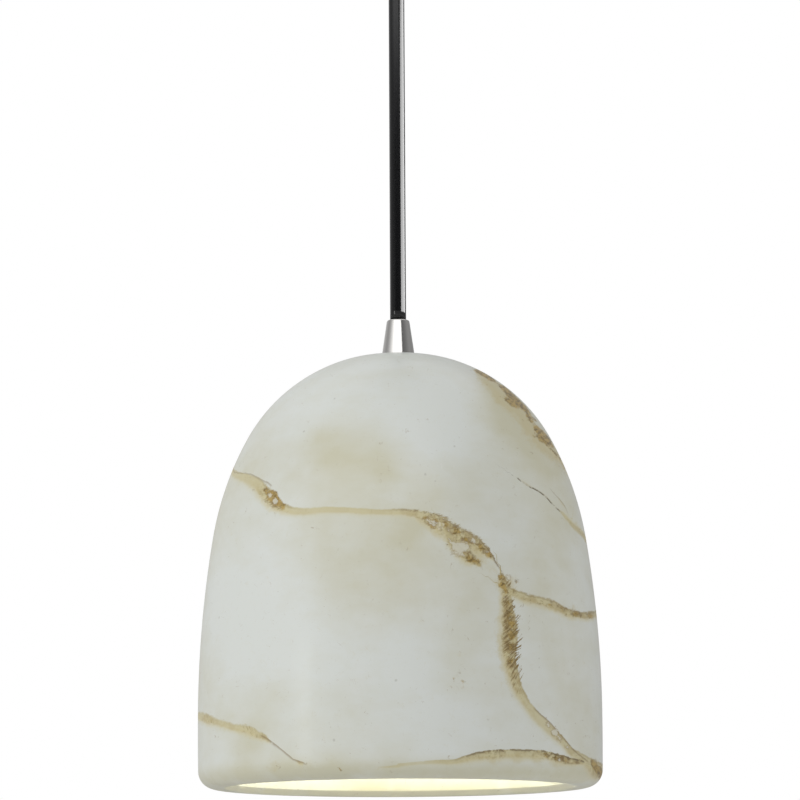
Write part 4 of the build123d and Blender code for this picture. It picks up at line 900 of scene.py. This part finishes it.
# Plain finishes: colour, worn colour, roughness, what else worn_material is told, and the solids
FINISHES = {
    "zinc_plate": (
        (0.56, 0.58, 0.60), (0.47, 0.47, 0.44), 0.34, {"metallic": 1.0, "scale": 500, "amount": 0.35},
        (
            "crossbar", "canopy_studs", "cord_grip_locknut", "cord_grip_washer", "nipple",
            "clamp_washer", "shade_locknut", "socket_bracket", "hub_set_screw", "bracket_screws",
        ),
    ),
    "tinned_copper": (
        (0.66, 0.64, 0.60), (0.55, 0.47, 0.38), 0.3, {"metallic": 1.0}, ("earth_ring_top",),
    ),
    "green_screw": (
        (0.05, 0.26, 0.09), (0.10, 0.20, 0.10), 0.35, {"metallic": 0.6},
        ("earth_screw", "bracket_earth_screw"),
    ),
    "stamped_brass": (
        (0.72, 0.52, 0.22), (0.55, 0.38, 0.16), 0.28, {"metallic": 1.0, "scale": 450, "amount": 0.3},
        ("live_terminal", "neutral_terminal", "terminal_screws", "centre_contact"),
    ),
    "solder_tip": (
        (0.55, 0.55, 0.54), (0.42, 0.42, 0.41), 0.4, {"metallic": 1.0, "scale": 800}, ("bulb_tip",),
    ),
    "glazed_porcelain": (
        (0.80, 0.79, 0.74), (0.74, 0.72, 0.66), 0.12, {"scale": 260, "amount": 0.3, "coat": 0.5},
        ("socket_body",),
    ),
    "cap_plastic": (
        (0.72, 0.22, 0.03), (0.62, 0.19, 0.03), 0.45, {}, ("wire_cap_live", "wire_cap_neutral"),
    ),
    "black_insulation": (
        (0.015, 0.015, 0.016), (0.03, 0.03, 0.03), 0.35, {}, ("live_lead_top", "live_lead_low"),
    ),
    "white_insulation": (
        (0.74, 0.73, 0.70), (0.66, 0.65, 0.6), 0.4, {}, ("neutral_lead_top", "neutral_lead_low"),
    ),
    "green_insulation": (
        (0.04, 0.27, 0.07), (0.05, 0.22, 0.07), 0.4, {}, ("earth_lead_top", "earth_lead_low"),
    ),
    "natural_nylon": (
        (0.66, 0.64, 0.57), (0.6, 0.57, 0.5), 0.5, {}, ("cord_grip_collet", "cone_collet"),
    ),
    "pressed_fibre": (
        (0.15, 0.12, 0.09), (0.10, 0.08, 0.06), 0.8, {"scale": 900, "amount": 0.6}, ("cone_washer",),
    ),
    "gasket_rubber": ((0.02, 0.02, 0.02), (0.04, 0.04, 0.04), 0.75, {"scale": 900}, ("shade_gasket",)),
    "dark_glass": ((0.012, 0.012, 0.016), (0.03, 0.03, 0.035), 0.12, {}, ("bulb_insulator",)),
    "white_moulding": (
        (0.84, 0.84, 0.82), (0.78, 0.78, 0.75), 0.42, {"scale": 700, "amount": 0.3}, ("bulb_housing",),
    ),
    "coated_board": ((0.78, 0.78, 0.76), (0.7, 0.7, 0.68), 0.4, {}, ("led_board",)),
    "circuit_board": ((0.02, 0.14, 0.05), (0.03, 0.2, 0.07), 0.4, {}, ("driver_board",)),
    "component_shell": ((0.03, 0.03, 0.04), (0.07, 0.07, 0.08), 0.4, {}, ("driver_parts",)),
}


def nickel_material(name, nickel, dulling, roughness, amount, bump):
    """Nickel with a grain that runs round the axis; its worn colour is the nickel times dulling."""
    worn = [dulling * c for c in nickel]
    return worn_material(name, nickel, worn, roughness, 1.0, 300, amount, (0.15, 0.15, 6), bump)


# Operators
class PENDANT_OT_finishes(bpy.types.Operator):
    """Makes the shared node groups and the plain finishes, and puts them on the CAD nodes"""

    bl_idname = "pendant.finishes"
    bl_label = "Finishes of the fittings"

    def execute(self, context):
        vein_group()
        wear_group()
        nickel = context.scene.pendant_metal.nickel
        dress(
            ("canopy", "canopy_cap_nuts", "cord_grip_body", "cord_grip_nut"),
            nickel_material("satin_nickel", nickel, 0.9, 0.24, 0.18, 0.01),
        )
        for name, (colour, worn, roughness, more, nodes) in FINISHES.items():
            dress(nodes, worn_material(name, colour, worn, roughness, **more))
        return {"FINISHED"}


class PENDANT_OT_bell(bpy.types.Operator):
    """Turns the marble bell and draws its veins, clouds and painted rim shade on it"""

    bl_idname = "pendant.bell"
    bl_label = "Marble bell"

    def execute(self, context):
        marble = context.scene.pendant_marble
        outline = bell_outline(marble.wall, NIPPLE.x + NIPPLE_HOLE_GAP)
        piece = turned_piece("marble_bell", *outline.T, BELL_COLUMNS)
        points = mesh_points(piece.data)
        for name, routes in VEIN_LAYERS.items():
            route, tone = vein_field(points, routes)
            store(piece, name, route)
            store(piece, name + "_tone", tone)
        store(piece, "clouds_rim_shade", clouds_and_rim_shade(points))
        for name, spots in (("crust", CRUSTS), ("ochre", OCHRES), ("stain", STAINS)):
            store(piece, name, spots_field(points, spots))
        material = marble_material(marble.pale, marble.khaki, marble.polish)
        finish_piece(piece, material, "pendant", "marble", "shade")
        return {"FINISHED"}


# The cord's route runs straight for a length at each end, and ends just above its held end
CORD_STRAIGHT = 6 * CORD_D
CORD_END_GAP = 0.05 * MM
CORD_SIDES = 40
CORD_END_SHARE = 0.02


class PENDANT_OT_cord(bpy.types.Operator):
    """Runs the taut cord from the ceiling grip to the cone"""

    bl_idname = "pendant.cord"
    bl_label = "Cord"

    def execute(self, context):
        heights = (
            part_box("cord_top_end")[0].z, GRIP_MOUTH_Z, GRIP_MOUTH_Z - CORD_STRAIGHT,
            CONE_MOUTH_Z + CORD_STRAIGHT, CONE_MOUTH_Z + CORD_END_GAP,
        )
        path = route_line([(0, 0, z) for z in heights])
        piece = mesh_piece("hanging_cord", *tube(path, CORD_D / 2, CORD_SIDES))
        material = worn_material(
            "cord_jacket", context.scene.pendant_cord.jacket, (0.006, 0.006, 0.0065), 0.14,
            scale=900, amount=0.12, grain=(1, 1, 0.04), bump=0.004,
        )
        piece.data.materials.append(material)
        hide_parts("cord")
        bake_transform(piece)
        dress(["cord_top_end", "cord_low_end"], material)
        return {"FINISHED"}


def mesh_points(mesh):
    """The mesh's points, one row each."""
    points = np.zeros(len(mesh.vertices) * 3, np.float32)
    mesh.vertices.foreach_get("co", points)
    return points.reshape(-1, 3).astype(float)


def route_line(route):
    """Points of the smooth line whose control points are the route's."""
    curve = bpy.data.curves.new("route", "CURVE")
    curve.dimensions = "3D"
    spline = curve.splines.new("NURBS")
    spline.points.add(len(route) - 1)
    for point, place in zip(spline.points, route):
        point.co = (*place, 1)
    spline.order_u = 3
    spline.use_endpoint_u = True
    spline.resolution_u = 16
    holder = bpy.data.objects.new("route", curve)
    mesh = bpy.data.meshes.new_from_object(holder)
    points = mesh_points(mesh)
    bpy.data.objects.remove(holder)
    bpy.data.meshes.remove(mesh)
    return points


def tube(path, radius, sides):
    """A circle of sides points carried along the path, square to it, with a closed end each way.

    The ends close on rings of nearly no radius."""
    tangent = np.gradient(path, axis=0)
    tangent /= np.linalg.norm(tangent, axis=1)[:, None]
    across = np.cross(tangent, [0.0, 1.0, 0.0])
    across /= np.linalg.norm(across, axis=1)[:, None]
    beside = np.cross(tangent, across)
    turn = np.linspace(0, 2 * np.pi, sides, endpoint=False)[None, :, None]
    ring = np.cos(turn) * across[:, None] + np.sin(turn) * beside[:, None]
    wide = path[:, None] + radius * ring
    first = path[:1, None] + radius * CORD_END_SHARE * ring[:1]
    last = path[-1:, None] + radius * CORD_END_SHARE * ring[-1:]
    points = np.concatenate((first, wide, last)).reshape(-1, 3)
    return points, grid_quads(len(path) + 2, sides, ring=False)[:, ::-1]


# The cone's top and edge, the cord's hole, and the gaps round the washer and the nipple
CONE_TOP_R = 5.65 * MM
CONE_EDGE_ROUND = 0.9 * MM
CONE_COLUMNS = 128
CORD_HOLE_GAP = 0.3 * MM
CORD_HOLE_BEVEL = 0.2 * MM
WASHER_GAP, NIPPLE_GAP = 0.2 * MM, 0.1 * MM
NIPPLE_BORE_STEP = 0.65 * MM


class PENDANT_OT_cone(bpy.types.Operator):
    """Turns the polished cone that grips the cord on the bell"""

    bl_idname = "pendant.cone"
    bl_label = "Cone"

    def execute(self, context):
        low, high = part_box("cord_cone")
        washer, collet_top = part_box("cone_washer")[1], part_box("cone_collet")[1].z
        mouth_r = CORD_D / 2 + CORD_HOLE_GAP
        washer_r, nipple_r = washer.x + WASHER_GAP, NIPPLE.x + NIPPLE_GAP
        lean = math.degrees(math.atan2(high.x - CONE_TOP_R, high.z - low.z))
        middle = (CONE_TOP_R - CONE_EDGE_ROUND, high.z - CONE_EDGE_ROUND)
        side_top = (CONE_TOP_R + 0.1 * MM, high.z - 1.2 * MM)
        side_foot = (high.x - 0.25 * MM, low.z + 0.6 * MM)
        # Mouth, rounded edge, side, foot, washer's recess, nipple's bore and the collet's seat
        outline = np.concatenate((
            straight((mouth_r + CORD_HOLE_BEVEL, high.z), (middle[0], high.z), 3)[:-1],
            arc(middle, CONE_EDGE_ROUND, 90, lean, 9),
            straight(side_top, side_foot, 12),
            [(high.x, low.z + 0.25 * MM), (high.x - 0.15 * MM, low.z)],
            [(washer_r, low.z), (washer_r, washer.z)],
            [(nipple_r, washer.z), (nipple_r, NIPPLE.z), (NIPPLE.x, NIPPLE.z)],
            [(NIPPLE.x - NIPPLE_BORE_STEP, collet_top), (mouth_r, collet_top)],
            [(mouth_r, high.z - CORD_HOLE_BEVEL)],
        ))
        piece = turned_piece("cord_grip_cone", *outline.T, CONE_COLUMNS)
        nickel = context.scene.pendant_metal.nickel
        material = nickel_material("polished_nickel", nickel, 0.94, 0.13, 0.12, 0.004)
        finish_piece(piece, material, "pendant", "brushed_nickel", "cord_cone")
        return {"FINISHED"}


# The threads' grids and fade, the walls, and the holes in the cap's top and the shell's flange
THREAD_COLUMNS, CAP_ROWS, SHELL_ROWS = 96, 76, 96
THREAD_FADE = 2 * MM
CAP_WALL, CAP_HOLE_R = 0.35 * MM, 4 * MM
SHELL_WALL, SHELL_HOLE_R, SHELL_PLAIN = 0.45 * MM, 8 * MM, 1.2 * MM


def thread_rows(low_z, high_z, mean_r, metal, rows):
    """Radii and heights of a rolled right-hand thread.

    The radius is the mean plus half the depth times the cosine of the turn at that height less the
    turn round the axis, and the wave dies out in a smooth step at both ends."""
    z = np.linspace(high_z, low_z, rows)
    turns = np.linspace(0, 2 * np.pi, THREAD_COLUMNS, endpoint=False) - np.pi / 2
    wave = np.cos(2 * np.pi * z[:, None] / metal.thread_pitch - turns[None])
    ends = smooth_step(np.minimum(z - low_z, high_z - z) / THREAD_FADE)
    return mean_r + metal.thread_depth / 2 * wave * ends[:, None], z


def plain_rows(*radii):
    """Round rows of one radius each, on the thread's columns."""
    return np.repeat(np.array(radii)[:, None], THREAD_COLUMNS, axis=1)


class PENDANT_OT_threads(bpy.types.Operator):
    """Rolls the threads of the bulb's cap and the socket's shell, which share one pitch"""

    bl_idname = "pendant.threads"
    bl_label = "Screw cap and shell"

    def execute(self, context):
        metal = context.scene.pendant_metal
        self.cap(metal)
        self.shell(metal)
        return {"FINISHED"}

    def cap(self, metal):
        """The bulb's cap: its top, the threaded side, and the same again a wall further in."""
        low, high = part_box("bulb_cap")
        collar_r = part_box("bulb_insulator")[1].x
        shoulder_z = high.z - (high.x - collar_r)
        outer, z = thread_rows(low.z, shoulder_z, high.x - metal.thread_depth / 2, metal, CAP_ROWS)
        radii = (CAP_HOLE_R, collar_r * 0.6, collar_r - 0.4 * MM, collar_r + 0.2 * MM)
        tops = np.array((high.z, high.z, high.z, high.z - 0.5 * MM))
        top = plain_rows(*radii)
        radii = np.concatenate((top, outer, outer[::-1] - CAP_WALL, top[::-1] - CAP_WALL))
        heights = np.concatenate((tops, z, z[::-1], tops[::-1] - CAP_WALL))
        piece = turned_piece("rolled_cap", radii, heights, THREAD_COLUMNS)
        plate = worn_material("cap_plate", (0.62, 0.61, 0.58), (0.5, 0.49, 0.46), 0.3, 1.0, 400, 0.25)
        finish_piece(piece, plate, "bulb", "bulb_metal", "bulb_cap")

    def shell(self, metal):
        """The socket's shell: its flange, the threaded wall and its inner face."""
        low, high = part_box("socket_shell")
        mean_r = high.x - SHELL_WALL - metal.thread_depth / 2
        inner, z = thread_rows(low.z, high.z - SHELL_PLAIN, mean_r, metal, SHELL_ROWS)
        radii = np.concatenate((
            plain_rows(SHELL_HOLE_R, high.x - 0.8 * MM), inner + SHELL_WALL,
            inner[::-1], plain_rows(high.x - 1.3 * MM, SHELL_HOLE_R),
        ))
        heights = np.concatenate(([high.z] * 2, z, z[::-1], [high.z - SHELL_WALL] * 2))
        piece = turned_piece("rolled_shell", radii, heights, THREAD_COLUMNS)
        brass = bpy.data.materials["stamped_brass"]
        finish_piece(piece, brass, "pendant", "brass", "socket_shell")


class PENDANT_OT_bulb(bpy.types.Operator):
    """Lights the frosted globe and its chips"""

    bl_idname = "pendant.bulb"
    bl_label = "Lit bulb"

    def execute(self, context):
        bulb = context.scene.pendant_bulb
        for node, name, base in (
            ("bulb_globe", "frosted_glow", (0.9, 0.88, 0.82)), ("leds", "chip_glow", (0.85, 0.6, 0.12)),
        ):
            dress([node], glow_material(name, bulb.glow, bulb.strength, base))
        return {"FINISHED"}


WHITE = (1.0, 1.0, 1.0)
# Cards of light that metal and the cord's jacket reflect: their low and high edges in metres, and
# their level at turns from the camera's side in degrees
RING_R, RING_COLUMNS = 2.6, 240
RINGS = {
    "base_ring": (-1.3, 0.12, [
        (-180, 0.34), (-150, 0.56), (-110, 0.5), (-61, 0.5), (-57, 4.5), (-51, 4.5), (-48, 0.5),
        (0, 0.45), (110, 0.4), (150, 0.36), (180, 0.34),
    ]),
    "low_ring": (0.12, 0.72, [
        (-180, 0.5), (-150, 0.66), (-100, 0.42), (-60, 0.25), (-20, 0.04), (20, 0.04), (60, 0.25),
        (180, 0.42),
    ]),
    "high_ring": (0.72, 2.6, [
        (-180, 0.5), (-150, 0.66), (-100, 0.43), (-90, 0.5), (-78, 0.62), (-67, 0.85), (-57, 1.15),
        (-47, 1.5), (-38, 1.9), (28, 1.9), (31, 0.17), (60, 0.25), (94, 0.38), (128, 0.38),
        (180, 0.42),
    ]),
}
KEY_PLACE, KEY_TARGET, KEY_SIZE = Vector((-2.15, -1.05, 0.4)), Vector((0, 0, -0.34)), (1.4, 1.4)
STRIP_PLACE, STRIP_BACK, STRIP_SIZE = Vector((1.9, -0.45, 0.28)), Vector((1, 0, 0)), (2.9, 0.8)
STRIP_POWER = 76.0
LIT_BY_STRIP = ("hanging_cord", "cord_low_end", "cord_top_end")
FLOOR_REACH, FLOOR_ROWS = 7, 15
FLOOR_TONES = (0.86, 0.86, 0.86), (0.83, 0.83, 0.83)
# The camera: place in metres, tilt up and roll in degrees, and focal length in millimetres
CAMERA_PLACE = (0.00073, -1.4917, CROWN_Z - 288.9 * MM)
CAMERA_TILT, CAMERA_ROLL, CAMERA_LENS = 10.172, -0.298, 137.17


class PENDANT_OT_studio(bpy.types.Operator):
    """Sets the floor, the soft light, the cards that metal reflects and the camera"""

    bl_idname = "pendant.studio"
    bl_label = "Studio"

    def execute(self, context):
        studio = context.scene.pendant_studio
        context.scene.view_settings.view_transform = "Standard"
        self.world(context, studio.sky)
        self.floor(studio.floor_z)
        key = self.lamp("key_lamp", KEY_PLACE, KEY_PLACE - KEY_TARGET, KEY_SIZE, studio.key)
        key.visible_glossy = False
        strip = self.lamp("strip_lamp", STRIP_PLACE, STRIP_BACK, STRIP_SIZE, STRIP_POWER)
        lit = bpy.data.collections.new("lit_by_strip_lamp")
        for piece in LIT_BY_STRIP:
            lit.objects.link(bpy.data.objects.get(piece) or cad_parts[piece])
        strip.light_linking.receiver_collection = lit
        for name, (low_z, high_z, levels) in RINGS.items():
            self.ring(name, low_z, high_z, levels)
        self.camera(context)
        return {"FINISHED"}

    def world(self, context, level):
        """White for camera, glossy and transmission rays, and a soft level for the rest."""
        world = bpy.data.worlds.new("studio")
        world.use_nodes = True
        world.node_tree.nodes.clear()
        n = Nodes(world.node_tree)
        ray = n.add("ShaderNodeLightPath")
        seen = n.maths("MAXIMUM", ray["Is Camera Ray"], ray["Is Glossy Ray"])
        seen = n.maths("MAXIMUM", seen, ray["Is Transmission Ray"])
        soft = n.add("ShaderNodeBackground", Color=WHITE, Strength=level)[0]
        white = n.add("ShaderNodeBackground", Color=WHITE, Strength=1.0)[0]
        both = n.add("ShaderNodeMixShader", _0=seen, _1=soft, _2=white)[0]
        n.add("ShaderNodeOutputWorld", Surface=both)
        context.scene.world = world

    def floor(self, height):
        """Large pale floor, far below the light, that fades to white far from the object."""
        across = np.linspace(-FLOOR_REACH, FLOOR_REACH, FLOOR_ROWS)
        x, y = np.meshgrid(across, across, indexing="ij")
        points = np.stack((x, y, np.full_like(x, height)), -1).reshape(-1, 3)
        quads = grid_quads(FLOOR_ROWS, FLOOR_ROWS, ring=False, around=False)
        piece = mesh_piece("studio_floor", points, quads)
        material, shader, n = new_material("pale_floor")
        place = n.place()
        tone = n.ramp(n.noise(place, 3, 4), 0.3, 0.7)
        n.feed(shader, Base_Color=n.mix(tone, *FLOOR_TONES), Roughness=0.8)
        flat = n.stretched(place, (1, 1, 0))
        away = n.add("ShaderNodeVectorMath", {"operation": "LENGTH"}, _0=flat)["Value"]
        fade = n.times(n.ramp(away, 0.8, 4.5), n.add("ShaderNodeLightPath")["Is Camera Ray"])
        white = n.add("ShaderNodeEmission", Color=WHITE, Strength=1.0)[0]
        both = n.add("ShaderNodeMixShader", _0=fade, _1=shader.outputs[0], _2=white)[0]
        n.feed(n.tree.nodes["Material Output"], Surface=both)
        piece.data.materials.append(material)

    def ring(self, name, low_z, high_z, levels):
        """Ring of card round the scene that only reflections see, with its level by turn."""
        turns = np.linspace(-180, 180, RING_COLUMNS + 1)[:-1]
        points = turned_points([RING_R] * 2, [low_z, high_z], RING_COLUMNS).reshape(2, -1, 3)
        points = np.roll(points, -RING_COLUMNS // 2, axis=1).reshape(-1, 3)
        piece = mesh_piece(name, points, grid_quads(2, RING_COLUMNS, ring=False))
        store(piece, "level", np.tile(np.interp(turns, *np.array(levels).T), 2))
        material, shader, n = new_material(name)
        n.tree.nodes.remove(shader)
        light = n.add("ShaderNodeEmission", Color=WHITE, Strength=n.stored("level"))[0]
        n.feed(n.tree.nodes["Material Output"], Surface=light)
        piece.data.materials.append(material)
        for rays in ("camera", "diffuse", "shadow", "transmission"):
            setattr(piece, "visible_" + rays, False)

    def lamp(self, name, place, back, size, power):
        """Soft lamp of a width and height at a place, with its back to a direction."""
        light = bpy.data.lights.new(name, "AREA")
        light.shape = "RECTANGLE"
        light.size, light.size_y = size
        light.energy = power
        holder = bpy.data.objects.new(name, light)
        holder.location = place
        holder.rotation_mode = "QUATERNION"
        holder.rotation_quaternion = back.to_track_quat("Z", "Y")
        holder.visible_camera = False
        bpy.context.scene.collection.objects.link(holder)
        return holder

    def camera(self, context):
        """Camera at the photograph's place: 1.5 m away, below the bell and looking up at it."""
        data = bpy.data.cameras.new("photo_camera")
        data.lens = CAMERA_LENS
        data.sensor_width = 36
        data.clip_start = 0.05
        data.clip_end = 60
        holder = bpy.data.objects.new("photo_camera", data)
        tilt = Matrix.Rotation(math.radians(90 + CAMERA_TILT), 4, "X")
        roll = Matrix.Rotation(math.radians(CAMERA_ROLL), 4, "Z")
        holder.matrix_world = Matrix.Translation(CAMERA_PLACE) @ tilt @ roll
        context.scene.collection.objects.link(holder)
        context.scene.camera = holder


class PENDANT_PT_panel(bpy.types.Panel):
    """Lists the light's pieces and settings"""

    bl_idname = "PENDANT_PT_panel"
    bl_label = "Bell pendant"
    bl_space_type = "VIEW_3D"
    bl_region_type = "UI"
    bl_category = "Bell pendant"

    def draw(self, context):
        for name in GROUPS:
            box = self.layout.box()
            settings = getattr(context.scene, name)
            for key in settings.__annotations__:
                box.prop(settings, key)
        for operator in OPERATORS:
            self.layout.operator(operator.bl_idname)


GROUPS = {
    "pendant_marble": MarbleSettings,
    "pendant_cord": CordSettings,
    "pendant_metal": MetalSettings,
    "pendant_bulb": BulbSettings,
    "pendant_studio": StudioSettings,
}
OPERATORS = (
    PENDANT_OT_finishes, PENDANT_OT_bell, PENDANT_OT_cord, PENDANT_OT_cone, PENDANT_OT_threads,
    PENDANT_OT_bulb, PENDANT_OT_studio,
)


def register():
    for kind in (*GROUPS.values(), *OPERATORS, PENDANT_PT_panel):
        bpy.utils.register_class(kind)
    for name, kind in GROUPS.items():
        setattr(bpy.types.Scene, name, PointerProperty(type=kind))


def unregister():
    for name in GROUPS:
        delattr(bpy.types.Scene, name)
    for kind in reversed((*GROUPS.values(), *OPERATORS, PENDANT_PT_panel)):
        bpy.utils.unregister_class(kind)


def main():
    register()
    for operator in OPERATORS:
        group, name = operator.bl_idname.split(".")
        getattr(getattr(bpy.ops, group), name)()


if __name__ == "__main__":
    main()
